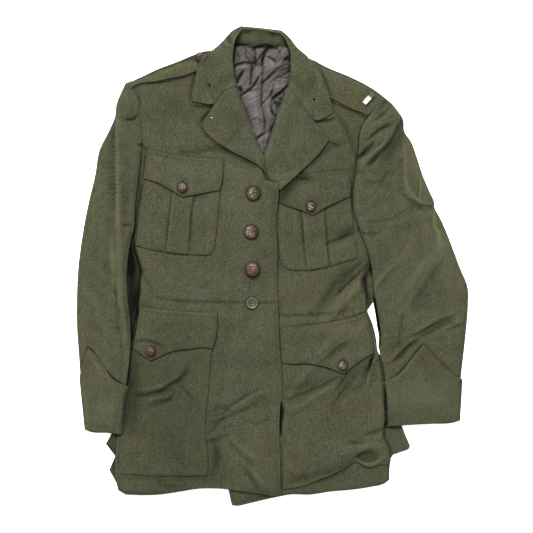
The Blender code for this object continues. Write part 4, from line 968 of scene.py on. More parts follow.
# Spread of low waves on each kind of cloth: wavelength and height
SWELLS = {
    "front": ((150, 0.9), (70, 0.45), (34, 0.18)),
    "sleeve": ((120, 0.9), (60, 0.55), (30, 0.22)),
    "pocket": ((90, 0.35), (40, 0.18)),
    "flap": ((70, 0.3), (30, 0.12)),
    "lapel": ((90, 0.5), (40, 0.2)),
    "back": ((60, 0.12),),
    "none": (),
}

PLEAT_LEFT = ((-169, 130), (-172, 101), (-175, 86), (-176, 64), (-179, 43), (-180, 26))
PLEAT_LEFT_END = ((-132, 120), (-135, 101), (-138, 87), (-140, 72), (-141, 44), (-142, 23))
PLEAT_RIGHT = ((49, 100), (51, 78), (53, 60), (54, 35), (58, 4))
PLEAT_RIGHT_END = ((88, 98), (90, 60), (92, 37), (96, 2))

BUTTONS = {
    # x, y, across, high, kind
    "front_button_1": (-32, 123, 24.5, 4.8, "bronze"),
    "front_button_2": (-36, 58, 24.5, 4.8, "bronze"),
    "front_button_3": (-34, -5, 24.5, 4.8, "bronze"),
    "front_button_4": (-34, -62, 20.0, 3.6, "plastic"),
    "chest_button_left": (-152, 133, 17.0, 4.2, "bronze"),
    "chest_button_right": (65, 101, 17.0, 4.2, "bronze"),
    "lower_button_left": (-206, -143, 17.0, 4.2, "bronze"),
    "lower_button_right": (119, -167, 17.0, 4.2, "bronze"),
}
# How red the bronze has gone, and how bright its leaves are from rubbing and its lit side from
# painted highlight
BUTTON_TINTS = {
    "front_button_1": (0.05, 0.68),
    "front_button_2": (0.25, 0.68),
    "front_button_3": (0.40, 0.56),
    "chest_button_left": (0.22, 0.70),
    "chest_button_right": (0.05, 0.85),
    "lower_button_left": (0.45, 0.24),
    "lower_button_right": (0.15, 0.78),
    "strap_button_left": (0.05, 0.22),
}
# Leaves pressed in a bronze button: centre, half length, half width (shares of the radius), tilt
LEAVES = (
    (-0.05, 0.30, 0.34, 0.13, 80),
    (0.28, 0.12, 0.30, 0.12, 35),
    (-0.33, 0.08, 0.28, 0.12, 140),
    (0.10, -0.18, 0.34, 0.14, 100),
    (0.38, -0.28, 0.24, 0.11, -20),
    (-0.28, -0.33, 0.26, 0.11, 30),
    (0.02, -0.52, 0.22, 0.10, 170),
    (0.36, 0.44, 0.20, 0.10, 60),
    (-0.40, 0.42, 0.20, 0.10, 120),
)
STRAP_BUTTON = (-122, 354, 17.0, 4.4, "bronze")
BAR_CENTRE = (163, 284)
BAR_SIZE = (23.0, 8.0, 1.6)
BAR_TURN = 47.0


# Lines and grids

def smooth_line(rows):
    """Dense points through the rows, round at gentle turns, and where the hard turns are."""
    points = np.array(rows, float)
    steps = np.diff(points, axis=0)
    lengths = np.linalg.norm(steps, axis=1)
    ways = steps / lengths[:, None]
    before = np.vstack([ways[:1], ways])
    after = np.vstack([ways, ways[-1:]])
    turns = np.degrees(np.arccos(np.clip((before * after).sum(axis=1), -1, 1)))
    hard = turns > HARD_TURN
    weight = np.concatenate([lengths[:1], lengths])[:, None]
    other = np.concatenate([lengths, lengths[-1:]])[:, None]
    mean = (before * other + after * weight) / (weight + other)
    line = [points[:1]]
    corners = []
    share = np.linspace(0, 1, STEPS_PER_ROW + 1)[1:, None]
    for k, length in enumerate(lengths):
        leave = ways[k] if hard[k] else mean[k]
        arrive = ways[k] if hard[k + 1] else mean[k + 1]
        line.append(
            (2 * share**3 - 3 * share**2 + 1) * points[k]
            + (share**3 - 2 * share**2 + share) * leave * length
            + (3 * share**2 - 2 * share**3) * points[k + 1]
            + (share**3 - share**2) * arrive * length
        )
        if hard[k + 1] and k + 2 < len(points):
            corners.append((k + 1) * STEPS_PER_ROW)
    return np.vstack(line), corners


def length_of(line):
    return np.linalg.norm(np.diff(line, axis=0), axis=1).sum()


def runs_of(line):
    """How far along a line each of its points is."""
    return np.concatenate([[0], np.cumsum(np.linalg.norm(np.diff(line, axis=0), axis=1))])


def points_at(line, run, wanted):
    return np.stack([np.interp(wanted, run, line[:, axis]) for axis in range(line.shape[1])], 1)


def stations(rows, shares):
    """Points at the given shares of a line's length, the nearest one moved to each corner."""
    line, corners = smooth_line(rows)
    run = runs_of(line)
    wanted = np.array(shares) * run[-1]
    for corner in corners:
        nearest = 1 + np.argmin(np.abs(wanted[1:-1] - run[corner]))
        wanted[nearest] = run[corner]
    return points_at(line, run, wanted)


def fine_shares(length, cell):
    """Even shares of a length, with the close lines of a cut edge at both ends."""
    low = [0.0] + [lip / length for lip in LIPS]
    high = [1.0 - lip / length for lip in LIPS[::-1]] + [1.0]
    count = max(2, round((high[0] - low[-1]) * length / cell))
    even = np.linspace(low[-1], high[0], count + 1)[1:-1]
    return np.array(low + list(even) + high)


def fine_plan(edges, cell=CELL):
    """Plan points of a panel, blended in from its four edges on a fine grid."""
    width = max(length_of(smooth_line(edges[side])[0]) for side in ("bottom", "top"))
    height = max(length_of(smooth_line(edges[side])[0]) for side in ("left", "right"))
    across = fine_shares(width, cell)
    along = fine_shares(height, cell)
    bottom = stations(edges["bottom"], across)[:, None]
    top = stations(edges["top"], across)[:, None]
    left = stations(edges["left"], along)[None]
    right = stations(edges["right"], along)[None]
    u = across[:, None, None]
    v = along[None, :, None]
    ruled = (1 - v) * bottom + v * top + (1 - u) * left + u * right
    corners = (1 - u) * (1 - v) * bottom[0] + u * (1 - v) * bottom[-1]
    return ruled - corners - (1 - u) * v * top[0] - u * v * top[-1]


def edge_distances(plan):
    return {
        "left": np.linalg.norm(plan - plan[:1], axis=2),
        "right": np.linalg.norm(plan - plan[-1:], axis=2),
        "bottom": np.linalg.norm(plan - plan[:, :1], axis=2),
        "top": np.linalg.norm(plan - plan[:, -1:], axis=2),
    }


def ease(distance, length):
    share = np.clip(distance / length, 0, 1)
    return share * share * (3 - 2 * share)


def bell(distance, width):
    """1 at no distance, and close to 0 from twice the width on."""
    return np.exp(-((distance / width) ** 2))


# The height map

def map_places(points):
    column = (points[..., 0] - MAP_LOW[0]) / MAP_CELL
    row = (points[..., 1] - MAP_LOW[1]) / MAP_CELL
    return np.clip(column, 0, MAP_SIZE[0] - 2), np.clip(row, 0, MAP_SIZE[1] - 2)


def sample(field, points):
    column, row = map_places(points)
    i = column.astype(int)
    j = row.astype(int)
    u = column - i
    v = row - j
    near = (1 - v) * field[i, j] + v * field[i, j + 1]
    far = (1 - v) * field[i + 1, j] + v * field[i + 1, j + 1]
    return (1 - u) * near + u * far


def pile_at(points, reach=0):
    """Height of what lies at plan points, the highest within reach map cells of each."""
    heights = pile
    for _ in range(reach):
        padded = np.pad(heights, 1, mode="edge")
        heights = np.max(
            [padded[1:-1, 1:-1], padded[:-2, 1:-1], padded[2:, 1:-1], padded[1:-1, :-2],
             padded[1:-1, 2:]], axis=0)
    return sample(heights, points)


def refined(surface, times):
    """The surface with that many cells in place of each one."""
    columns, rows = surface.shape[0] - 1, surface.shape[1] - 1
    fine_u = np.linspace(0, columns, columns * times + 1)
    fine_v = np.linspace(0, rows, rows * times + 1)
    i = np.minimum(fine_u.astype(int), columns - 1)
    j = np.minimum(fine_v.astype(int), rows - 1)
    u = (fine_u - i)[:, None, None]
    v = (fine_v - j)[None, :, None]
    near = (1 - v) * surface[i][:, j] + v * surface[i][:, j + 1]
    far = (1 - v) * surface[i + 1][:, j] + v * surface[i + 1][:, j + 1]
    return (1 - u) * near + u * far


def add_to_pile(surface, cell=CELL):
    fine = refined(surface, max(2, round(SPLAT * cell / CELL)))
    column, row = map_places(fine)
    np.maximum.at(pile, (np.rint(column).astype(int), np.rint(row).astype(int)), fine[..., 2])


# Relief

def mean_of_neighbours(height):
    padded = np.pad(height, 1, mode="edge")
    return (padded[:-2, 1:-1] + padded[2:, 1:-1] + padded[1:-1, :-2] + padded[1:-1, 2:]) / 4


def blurred(field, passes):
    for _ in range(passes):
        field = 0.5 * field + 0.5 * mean_of_neighbours(field)
    return field


def settle(lowest, passes):
    """Cloth over steps: it touches the high places and slopes between them."""
    height = lowest.copy()
    for _ in range(passes):
        height = np.maximum(lowest, mean_of_neighbours(height))
    return height


def crease_relief(plan, rows):
    """Height of the listed creases, which fade out at both ends.

    The lean is an empty list where a row has none.
    """
    total = np.zeros(plan.shape[:2])
    for width, rise, *lean, line in rows:
        points = smooth_line(line)[0]
        low = points.min(axis=0) - 3 * width
        high = points.max(axis=0) + 3 * width
        near = np.all((plan > low) & (plan < high), axis=2)
        if not near.any():
            continue
        places = plan[near]
        offsets = places[:, None] - points[None]
        away = np.linalg.norm(offsets, axis=2)
        nearest = away.argmin(axis=1)
        way = np.gradient(points, axis=0)[nearest]
        offset = offsets[np.arange(len(places)), nearest]
        side = np.sign(way[:, 0] * offset[:, 1] - way[:, 1] * offset[:, 0])
        spread = width * (1 - sum(lean) * side)
        run = nearest / (len(points) - 1)
        arc = np.clip(CREASE_START + (1 - 2 * CREASE_START) * run, 0, 1)
        fade = np.sin(math.pi * arc) ** CREASE_FADE
        total[near] += rise * fade * bell(away.min(axis=1), spread)
    return total


def waves(plan, seed, wavelength, height, count=16):
    """A smooth uneven field with about that wavelength and height."""
    random = np.random.default_rng(seed)
    total = np.zeros(plan.shape[:2])
    for _ in range(count):
        turn = random.uniform(0, 2 * math.pi)
        phase = random.uniform(0, 2 * math.pi)
        pitch = wavelength * random.uniform(*PITCHES)
        along = plan[..., 0] * math.cos(turn) + plan[..., 1] * math.sin(turn)
        total += np.sin(2 * math.pi * along / pitch + phase)
    return total * height * math.sqrt(2 / count)


def crinkles(plan, seed, wavelength, width, height):
    """Sharp crossing creases, where an uneven field passes through zero."""
    field = waves(plan, seed, wavelength, 1.0)
    patch, sharpness = CRINKLED_PATCHES
    strength = 0.5 + 0.5 * np.tanh(waves(plan, seed + 1, wavelength * patch, sharpness))
    return height * strength * bell(field, width)


def drawn_out(plan, turn, times=4.0):
    """The plan turned and squeezed, so that a field on it runs long in one direction."""
    turn = math.radians(turn)
    along = plan[..., 0] * math.cos(turn) + plan[..., 1] * math.sin(turn)
    across = plan[..., 1] * math.cos(turn) - plan[..., 0] * math.sin(turn)
    return np.dstack([along / times, across])


def rounded_edge(height, foot, distance, radius):
    """The height, brought down to a foot in a quarter round over the radius."""
    bend = np.clip(1 - distance / radius, 0, 1)
    return foot + (height - foot) * np.sqrt(1 - bend**2)


def lay(name, plan, wall, kind="none", fullness=0.0, rolled=(), sewn=(), sewn_above=-math.inf,
        joined=(), flat=(), relief=0.0, reach=REACH, cell=CELL):
    """Surface of the outer face of cloth laid on the pile.

    Rolled edges curl right down, the others are turned and pressed, and flat ones lie as they
    come because another piece covers them. A sewn edge sinks a little into its seam above the
    given y, and a joined one comes down to the piece that it was sewn to. Over a step, the cloth
    spans about the reach.
    """
    floor = pile_at(plan, reach=1) + GAP
    lowest = floor + wall
    distances = edge_distances(plan)
    filled = np.ones(lowest.shape)
    calm = np.ones(lowest.shape)
    for side, distance in distances.items():
        filled *= ease(distance + (ROLLED_START if side in rolled else 0.0), FADE)
        calm *= CALM + (1 - CALM) * ease(distance, CALM_REACH)
    height = blurred(settle(lowest, round((reach / cell) ** 2)), SOFTENING)
    height += fullness * filled
    for number, (wavelength, swell) in enumerate(SWELLS[kind]):
        seed = sum(ord(letter) for letter in name) * 7 + number
        height += calm * (waves(plan, seed, wavelength, swell) + swell)
    height += crease_relief(plan, CREASES.get(name, ()))
    height = np.maximum(height + relief, lowest)
    lines = {"left": np.s_[:1, :], "right": np.s_[-1:, :], "bottom": np.s_[:, :1],
             "top": np.s_[:, -1:]}
    for side, distance in distances.items():
        if side in flat:
            continue
        line = lines[side]
        radius = np.full(height[line].shape, ROLL if side in rolled else TURN_RADIUS)
        foot = floor[line] + (ROLLED_FOOT if side in rolled else FOOT)
        if side in sewn + joined:
            above = plan[line][..., 1] > sewn_above
            dip, seam_radius = SOFT_SEAMS.get(name, (SEAM_DIP, SEAM_RADIUS))
            level = height[line] - dip
            if side in joined:
                level = np.minimum(pile_at(plan[line], reach=2) - JOIN_DIP, height[line])
            foot = np.where(above, level, foot)
            radius = np.where(above, seam_radius, radius)
        height = rounded_edge(height, np.minimum(foot, height[line]), distance, radius)
    return np.dstack([plan, height])


def ditch(distance, inset):
    """What a row of topstitching pulls down along an edge, at an inset from it."""
    return -DITCH_DEPTH * bell(distance - inset, DITCH_WIDTH)


def stitched(plan, rows):
    distances = edge_distances(plan)
    return sum(ditch(distances[side], inset) for side, inset, *_ in rows)


# Objects

def set_values(mesh, name, values):
    """A value for every vertex, which the materials read by name."""
    attribute = mesh.attributes.new(name, "FLOAT", "POINT")
    attribute.data.foreach_set("value", values.ravel().astype(np.float32))


def squared_reaches(surface, x, y, reach_x, reach_y):
    return ((surface[..., 0] - x) / reach_x) ** 2 + ((surface[..., 1] - y) / reach_y) ** 2


def paint_wear_and_shade():
    """Wear and painted shade of every cloth point: ridges go pale from rubbing, and hollows and the
    feet of steps are painted dark.

    0.5 is between. It is worked out when the pile is complete.
    """
    narrow = blurred(pile, NARROW_BLUR)
    wide = blurred(narrow, WIDE_BLUR)
    for piece, mesh, surface in shaded:
        height = surface[..., 2]
        soft = blurred(height, RIDGE_BLUR)
        worn_and_shading = 0.5 + RIDGE_WEAR * np.tanh((height - soft) * RIDGE_GAIN)
        # Painted shade where a place lies below its surroundings: in hollows, creases and at the
        # feet of steps
        sunk = NARROW_SHADE * np.clip(sample(narrow, surface) - height - NARROW_FREE, 0, None)
        sunk += WIDE_SHADE * np.clip(sample(wide, surface) - height - WIDE_FREE, 0, None)
        for seam in LIT_SEAMS:
            away = squared_reaches(surface, *seam)
            sunk *= 1 - np.exp(-(away**2))
        worn_and_shading = worn_and_shading * np.exp(-DEEPEST * np.tanh(sunk / DEEPEST))
        set_values(mesh, "wear_and_shading", worn_and_shading)
        # Painted tones and broad patches: painted shade, painted highlights and sun-bleaching
        fading_and_shading = crease_relief(surface[..., :2], PAINTED_TONES.get(piece, ()))
        for *patch, amount in PATCHES:
            fading_and_shading += amount * np.exp(-squared_reaches(surface, *patch))
        set_values(mesh, "fade_and_shading", fading_and_shading)


def mesh_from_grid(name, surface, closed=False):
    """A mesh of quads from a grid of points in mm, facing up where the grid runs left and up."""
    columns, rows = surface.shape[:2]
    index = np.arange(columns * rows).reshape(columns, rows)
    if closed:
        index = np.vstack([index, index[:1]])
    quads = np.stack([index[:-1, :-1], index[1:, :-1], index[1:, 1:], index[:-1, 1:]], axis=-1)
    quads = quads.reshape(-1, 4)
    mesh = bpy.data.meshes.new(name)
    mesh.vertices.add(columns * rows)
    mesh.vertices.foreach_set("co", (surface.reshape(-1, 3) * MM).ravel())
    mesh.loops.add(quads.size)
    mesh.loops.foreach_set("vertex_index", quads.ravel())
    mesh.polygons.add(len(quads))
    mesh.polygons.foreach_set("loop_start", np.arange(len(quads)) * 4)
    mesh.update(calc_edges=True)
    mesh.validate()
    mesh.shade_smooth()
    return mesh


def add_piece(name, mesh, material, node=None):
    """A shown piece that rides on the body and stands for its node, if it has one."""
    obj = bpy.data.objects.new(name, mesh)
    obj.data.materials.append(materials[material])
    bpy.context.scene.collection.objects.link(obj)
    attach(obj, "root")
    if node:
        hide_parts(node)
    return obj


def add_wall(obj, thickness):
    wall = obj.modifiers.new("Wall", "SOLIDIFY")
    wall.thickness = thickness * MM
    wall.offset = -1.0


def flat_size(plan):
    """Width, length and area of the cut, in metres."""
    width = max(length_of(plan[:, row]) for row in (0, plan.shape[1] // 2, -1))
    length = max(length_of(plan[column]) for column in (0, plan.shape[0] // 2, -1))
    first = plan[1:, :-1] - plan[:-1, :-1]
    second = plan[:-1, 1:] - plan[:-1, :-1]
    area = np.abs(first[..., 0] * second[..., 1] - first[..., 1] * second[..., 0]).sum()
    return width * MM, length * MM, area * MM * MM


def add_cloth(node, surface, material="serge",
              shell=SHELL, cell=CELL):
    """The visible sheet in place of a cloth node, added to the pile."""
    mesh = mesh_from_grid("cloth_" + node, surface)
    shaded.append((node, mesh, surface))
    obj = add_piece("cloth_" + node, mesh, material, node)
    add_wall(obj, shell)
    add_to_pile(surface, cell)
    width, length, area = flat_size(surface[..., :2])
    area = min(area, width * length)
    return obj


def add_back_and_lining():
    plan = fine_plan(BACK, COARSE)
    height = BACK_HEIGHT + waves(plan, *BACK_WAVES)
    surface = np.dstack([plan, height])
    add_cloth("back", surface, shell=BACK_SHELL, cell=COARSE)
    plan = fine_plan(LINING, SATIN_CELL)
    relief = LINING_FULLNESS + waves(plan, *LINING_WAVES)
    for seed, turn in LINING_CRINKLES:
        relief += crinkles(drawn_out(plan, turn), seed, *CRINKLE)
    surface = lay("back_lining", plan, SATIN, relief=relief, cell=SATIN_CELL,
                  flat=("left", "right", "top", "bottom"))
    add_cloth("back_lining", surface, "satin", shell=SATIN_SHELL)


def add_front(side, edges, underarm):
    """A front, which rolls over at its side and shoulder and is sewn along its side."""
    surface = lay(
        f"front_{side}", fine_plan(edges, WIDE_CELL), SERGE, "front", fullness=FRONT_FULLNESS,
        rolled=(side, "top"), sewn=(side,), sewn_above=underarm, cell=WIDE_CELL,
    )
    add_cloth(f"front_{side}", surface, cell=WIDE_CELL)


def between(plan, first, last):
    """1 between two lines that run down the plan, with soft pressed edges."""
    def offset(line):
        rows = np.array(sorted(line, key=lambda row: row[1]), float)
        return plan[..., 0] - np.interp(plan[..., 1], rows[:, 1], rows[:, 0])
    return ease(offset(first), PLEAT_EDGE) * ease(-offset(last), PLEAT_EDGE)


def add_pockets(side, chest, chest_flap, lower, lower_flap, pleat):
    plan = fine_plan(chest, FINE_CELL)
    relief = PLEAT_RISE * between(plan, *pleat) + stitched(plan, POCKET_ROWS)
    surface = lay(f"chest_pocket_{side}", plan, POCKET_CLOTH, "pocket", relief=relief,
                  cell=FINE_CELL)
    add_cloth(f"chest_pocket_{side}", surface)
    add_flap(f"chest_flap_{side}", chest_flap)
    plan = fine_plan(lower)
    surface = lay(f"lower_pocket_{side}", plan, POCKET_CLOTH, "pocket",
                  relief=stitched(plan, POCKET_ROWS))
    add_cloth(f"lower_pocket_{side}", surface)
    add_flap(f"lower_flap_{side}", lower_flap)


def add_flap(name, edges):
    """A flap, sewn down along its top, which stands off most in its middle."""
    plan = fine_plan(edges)
    distances = edge_distances(plan)
    lift = ease(distances["top"], FLAP_HINGE)
    ends = ease(np.minimum(distances["left"], distances["right"]), FLAP_END)
    lift *= FLAP_END_SHARE + (1 - FLAP_END_SHARE) * ends
    relief = FLAP_LIFT * lift + stitched(plan, FLAP_ROWS)
    add_cloth(name, lay(name, plan, TURNED, "flap", relief=relief))


def add_lapel(side, edges):
    name = f"lapel_{side}"
    plan = fine_plan(edges)
    relief = stitched(plan, LAPEL_ROWS[side])
    surface = lay(name, plan, SERGE, "lapel", rolled=(OTHER[side],), sewn=("top",),
                  relief=relief)
    add_cloth(name, surface)


def add_strap(side, edges):
    name = f"shoulder_strap_{side}"
    surface = lay(name, fine_plan(edges, STRAP_CELL), TURNED, "flap", reach=STRAP_REACH,
                  cell=STRAP_CELL)
    add_cloth(name, surface)


def shifted(rows, shift):
    return tuple((x + shift, y) for x, y in rows)


def strip(side, outer, inner):
    """The edges of a sleeve on that side, which runs up from its cuff."""
    left, right = (outer, inner) if side == "left" else (inner, outer)
    return {
        "left": left,
        "right": right,
        "bottom": (left[0], right[0]),
        "top": (left[-1], right[-1]),
    }


def add_sleeve(side, edges, underarm, cuff):
    """The under sleeve on the floor, the top sleeve rolled over it, and the cuff on that."""
    inner = edges["inner"]
    outer = edges["outer"]
    inward = TUCK if side == "left" else -TUCK
    under = strip(side, shifted(outer, inward), edges.get("under_inner", shifted(inner, -inward)))
    name = f"sleeve_{side}_under"
    surface = lay(name, fine_plan(under, COARSE)[:, :-ROWS_LEFT_OUT], TURNED)
    add_cloth(name, surface, cell=COARSE)
    top_name = f"sleeve_{side}_top"
    surface = lay(top_name, fine_plan(strip(side, outer, inner), FINE_CELL), SERGE, "sleeve",
                  fullness=SLEEVE_FULLNESS, rolled=("left", "right"), joined=(OTHER[side],),
                  sewn_above=underarm, cell=FINE_CELL)
    add_cloth(top_name, surface, "serge_sleeve")
    surface = lay(f"cuff_{side}", fine_plan(cuff), CUFF_CLOTH, rolled=("left", "right"),
                  reach=CUFF_REACH)
    add_cloth(f"cuff_{side}", surface, "serge_sleeve")


def loft(sections, across, along):
    """A surface through sections, smooth both ways."""
    tracks = np.stack([stations(track, along) for track in zip(*sections)])
    columns = [smooth_track(tracks[:, row], across) for row in range(tracks.shape[1])]
    return np.stack(columns, axis=1)


def smooth_track(points, shares):
    """Points on a smooth curve through a section's points."""
    place = np.array(shares) * (len(points) - 1)
    k = np.minimum(place.astype(int), len(points) - 2)
    t = (place - k)[:, None]
    padded = np.vstack([2 * points[0] - points[1], points, 2 * points[-1] - points[-2]])
    a, b, c, d = padded[k], padded[k + 1], padded[k + 2], padded[k + 3]
    return 0.5 * (2 * b + (c - a) * t + (2 * a - 5 * b + 4 * c - d) * t**2
                  + (3 * b - a - 3 * c + d) * t**3)


def add_collar():
    stand = loft(STAND_SECTIONS, np.linspace(0, 1, STAND_ROWS), fine_shares(STAND_RUN, CELL))[::-1]
    stand[..., 2] += waves(stand[..., :2], *STAND_WAVES)
    add_cloth("collar_stand", stand)
    across = fine_shares(FALL_WIDTH, CELL)
    fall = loft(FALL_SECTIONS, across, fine_shares(FALL_RUN, CELL))[::-1]
    plan = fall[..., :2]
    floor = pile_at(plan, reach=1) + GAP
    on_cloth = plan[..., 1] < FALL_ON_CLOTH_BELOW_Y
    lowest = np.where(on_cloth, floor + TURNED, 0)
    height = np.maximum(fall[..., 2], lowest)
    soft = blurred(np.maximum(height, settle(lowest, FALL_SETTLING)), FALL_SOFTENING)
    height = np.maximum(np.where(on_cloth, soft, height), lowest)
    height += waves(plan, *FALL_WAVES) + crease_relief(plan, CREASES["collar_fall"])
    distances = edge_distances(plan)
    outer = distances["left"]
    ends = np.minimum(distances["bottom"], distances["top"])
    height += ditch(outer, FALL_INSET) * on_cloth
    foot = np.minimum(floor + FOOT, height)
    height = np.where(on_cloth, rounded_edge(height, foot, outer, TURN_RADIUS), height)
    # Each end is sewn to its lapel as far as the notch, and beyond that it is a free edge.
    free = ease(across[::-1, None] - NOTCH_SHARE, NOTCH_SOFTNESS)
    level = np.minimum(settle(pile_at(plan, reach=1) + SEWN_GAP, SEWN_SETTLING), height)
    flush = level + (height - level) * ease(ends, SEWN_REACH)
    foot = np.minimum(floor + FOOT, height)
    turned = rounded_edge(height, foot, ends, TURN_RADIUS)
    fall[..., 2] = free * turned + (1 - free) * flush
    add_cloth("collar_fall", fall)


def add_hanger_loop():
    """A strip of the satin rolled and sewn into a flat cord."""
    shares = np.linspace(0, 1, LOOP_RINGS)
    middle = stations(LOOP_LINE, shares)
    way = np.gradient(middle, axis=0)
    side = np.stack([-way[:, 1], way[:, 0]], 1) / np.linalg.norm(way, axis=1)[:, None]
    turn = np.linspace(0, 2 * math.pi, LOOP_SIDES, endpoint=False)[:, None, None]
    ends = LOOP_END + np.minimum(shares, 1 - shares) / LOOP_END_SHARE
    ends = np.clip(ends, 0, 1)[None, :, None]
    plan = middle[None] + side[None] * np.cos(turn) * ends * LOOP_WIDTH / 2
    base = pile_at(middle, reach=2)[None, :] + GAP + LOOP_HEIGHT / 2
    height = base + (np.sin(turn) * ends)[..., 0] * LOOP_HEIGHT / 2
    mesh = mesh_from_grid("cloth_hanger_loop", np.dstack([plan, height]), closed=True)
    obj = add_piece("cloth_hanger_loop", mesh, "tape", "hanger_loop")
    add_wall(obj, TAPE_SHELL)


def spray(share, turn):
    """A pressed spray of leaves, 0 to 1, on a disk of radius 1."""
    x = share * np.cos(turn)
    y = share * np.sin(turn)
    height = 0.0 * x
    for leaf_x, leaf_y, half_length, half_width, tilt in LEAVES:
        angle = math.radians(tilt)
        along = (x - leaf_x) * math.cos(angle) + (y - leaf_y) * math.sin(angle)
        across = (y - leaf_y) * math.cos(angle) - (x - leaf_x) * math.sin(angle)
        leaf = np.exp(-((along / half_length) ** 4) - (across / half_width) ** 2)
        height = np.maximum(height, leaf)
    return height


def within(share, limit):
    """1 well inside a share of the radius, and 0 beyond it."""
    return np.clip((limit - share) / RELIEF_SOFTNESS, 0, 1)


def bronze_face(share, turn, start, rub_and_light):
    """Dome, relief and pale places of a button with a plain rim and a spray of leaves: the leaves
    are pale from rubbing, and the side toward the light gets a painted highlight.
    """
    edge_height, bulge, rim_rise, leaf_rise = 0.35, 0.5, 0.08, 0.16
    rim_highlight, leaf_rub, face_highlight, unlit = 0.16, 1.2, 0.35, 0.25
    rim_width, leaves_end, face_end = 0.05, 0.86, 0.84
    dome = edge_height + bulge * np.sqrt(np.clip(1 - share**2, 0, 1))
    rim = bell(share - RIM, rim_width)
    leaves = spray(share, turn + start) * within(share, leaves_end)
    # Painted light: the rim and the face are painted paler on the side toward the light
    lit = 0.5 + 0.5 * np.cos(turn - SKY_TURN + SKY_SPREAD * start)
    face = leaf_rub * leaves + face_highlight * within(share, face_end)
    worn_and_shading = rub_and_light * np.clip(rim_highlight * rim * lit + face * (unlit + (1 - unlit) * lit), 0, 1)
    return dome, rim_rise * rim + leaf_rise * leaves, worn_and_shading


def plastic_face(share, turn):
    """Height, relief and pale places of a flat button with a rim and four holes; the rim is painted
    darker at the top and the lower face paler, as painted light and shade.
    """
    height, rim_place, rim_rise, rim_width = 0.62, 0.86, 0.30, 0.09
    hole_place, hole_size, hole_depth = 0.24, 0.1, 0.4
    pale_width, pale_rim, rim_shade, lit_side = 0.07, 0.85, 0.15, 0.30
    relief = rim_rise * bell(share - rim_place, rim_width) + 0 * turn
    for k in range(4):
        way = math.pi * (k + 0.5) / 2
        away = np.hypot(share * np.cos(turn) - hole_place * math.cos(way),
                        share * np.sin(turn) - hole_place * math.sin(way))
        relief = relief - hole_depth * np.exp(-((away / hole_size) ** 4))
    pale = bell(share - rim_place, pale_width) * (pale_rim - rim_shade * np.sin(turn))
    return height, relief, pale + lit_side * np.clip(-np.sin(turn), 0, 1) * share


def add_button(name, x, y, across, high, kind):
    """A domed bronze button, or a flat plastic one."""
    share = np.linspace(1, 0, BUTTON_RINGS)[None, :]
    turn = np.linspace(0, 2 * math.pi, BUTTON_SIDES, endpoint=False)[:, None]
    start = sum(ord(letter) for letter in name) % 17
    tint, rub_and_light = BUTTON_TINTS.get(name, (0.0, 1.0))
    if kind == "bronze":
        dome, relief, worn_and_shading = bronze_face(share, turn, start, rub_and_light)
    else:
        dome, relief, worn_and_shading = plastic_face(share, turn)
    edge = np.sqrt(np.clip(1 - np.clip((share - RIM) / RIM_WIDTH, 0, 1) ** 2, 0, 1))
    radius = across / 2
    ring_x = x + radius * share * np.cos(turn)
    ring_y = y + radius * share * np.sin(turn)
    base = pile_at(np.dstack([ring_x, ring_y])).max() + GAP
    surface = np.dstack([ring_x, ring_y, base + high * (dome + relief) * edge])
    mesh = mesh_from_grid(name, surface, closed=True)
    set_values(mesh, "wear_and_shading", worn_and_shading * edge)
    tarnish = tint + TARNISH_SPREAD * share * np.cos(turn + start)
    set_values(mesh, "tarnish", np.clip(tarnish, 0, 1))
    add_piece("detail_" + name, mesh, kind, name)
    add_to_pile(np.concatenate([surface, surface[:1]]))


def add_rank_bar():
    """A small enamelled bar with a raised rim."""
    mesh = bpy.data.meshes.new("rank_bar_detail")
    box = bmesh.new()
    bmesh.ops.create_cube(box, size=1.0)
    bmesh.ops.scale(box, vec=[length * MM for length in BAR_SIZE], verts=box.verts)
    bmesh.ops.bevel(box, geom=list(box.edges), offset=BAR_BEVEL * MM, segments=3, affect="EDGES")
    top = max(box.faces, key=lambda face: face.calc_center_median().z)
    bmesh.ops.inset_region(box, faces=[top], thickness=BAR_RIM * MM, depth=-BAR_SINK * MM)
    # Without this, the order of the inset's faces changes from run to run.
    box.faces.sort(key=lambda face: face.calc_center_median().dot(BAR_ORDER))
    turn = math.radians(BAR_TURN)
    # It rests on the highest of these places under it.
    spots = np.array([[(dx, dy) for dx in (-10, -5, 0, 5, 10)] for dy in (-4, 0, 4)], float)
    turned = np.stack([spots[..., 0] * math.cos(turn) - spots[..., 1] * math.sin(turn),
                       spots[..., 0] * math.sin(turn) + spots[..., 1] * math.cos(turn)], -1)
    base = pile_at(turned + np.array(BAR_CENTRE, float)).max() + GAP
    place = Matrix.Translation(Vector((*BAR_CENTRE, base + BAR_SIZE[2] / 2)) * MM)
    bmesh.ops.transform(box, matrix=place @ Matrix.Rotation(turn, 4, "Z"), verts=box.verts)
    box.to_mesh(mesh)
    box.free()
    mesh.shade_smooth()
    add_piece("detail_rank_bar", mesh, "enamel", "rank_bar")


# Stitching

def offset_line(line, distance):
    """The line moved to its left by a distance."""
    way = np.gradient(line, axis=0)
    way /= np.linalg.norm(way, axis=1)[:, None]
    return line + distance * np.stack([-way[:, 1], way[:, 0]], 1)


def inset_edge(edges, side, distance, low, high):
    """A line inside a panel's edge, between two shares of the edge."""
    line = smooth_line(edges[side])[0]
    sign = 1 if side in ("bottom", "right") else -1
    moved = offset_line(line, sign * distance)
    first = int(low * (len(moved) - 1))
    last = int(high * (len(moved) - 1)) + 1
    return moved[first:last]


def stitch_centres(line, pitch):
    """The middle of each stitch along a line, and which way it runs."""
    run = runs_of(line)
    wanted = np.arange(pitch / 2, run[-1], pitch)
    middle = points_at(line, run, wanted)
    way = points_at(line, run, wanted + 0.5) - middle
    return middle, way / np.maximum(np.linalg.norm(way, axis=1), 1e-9)[:, None]


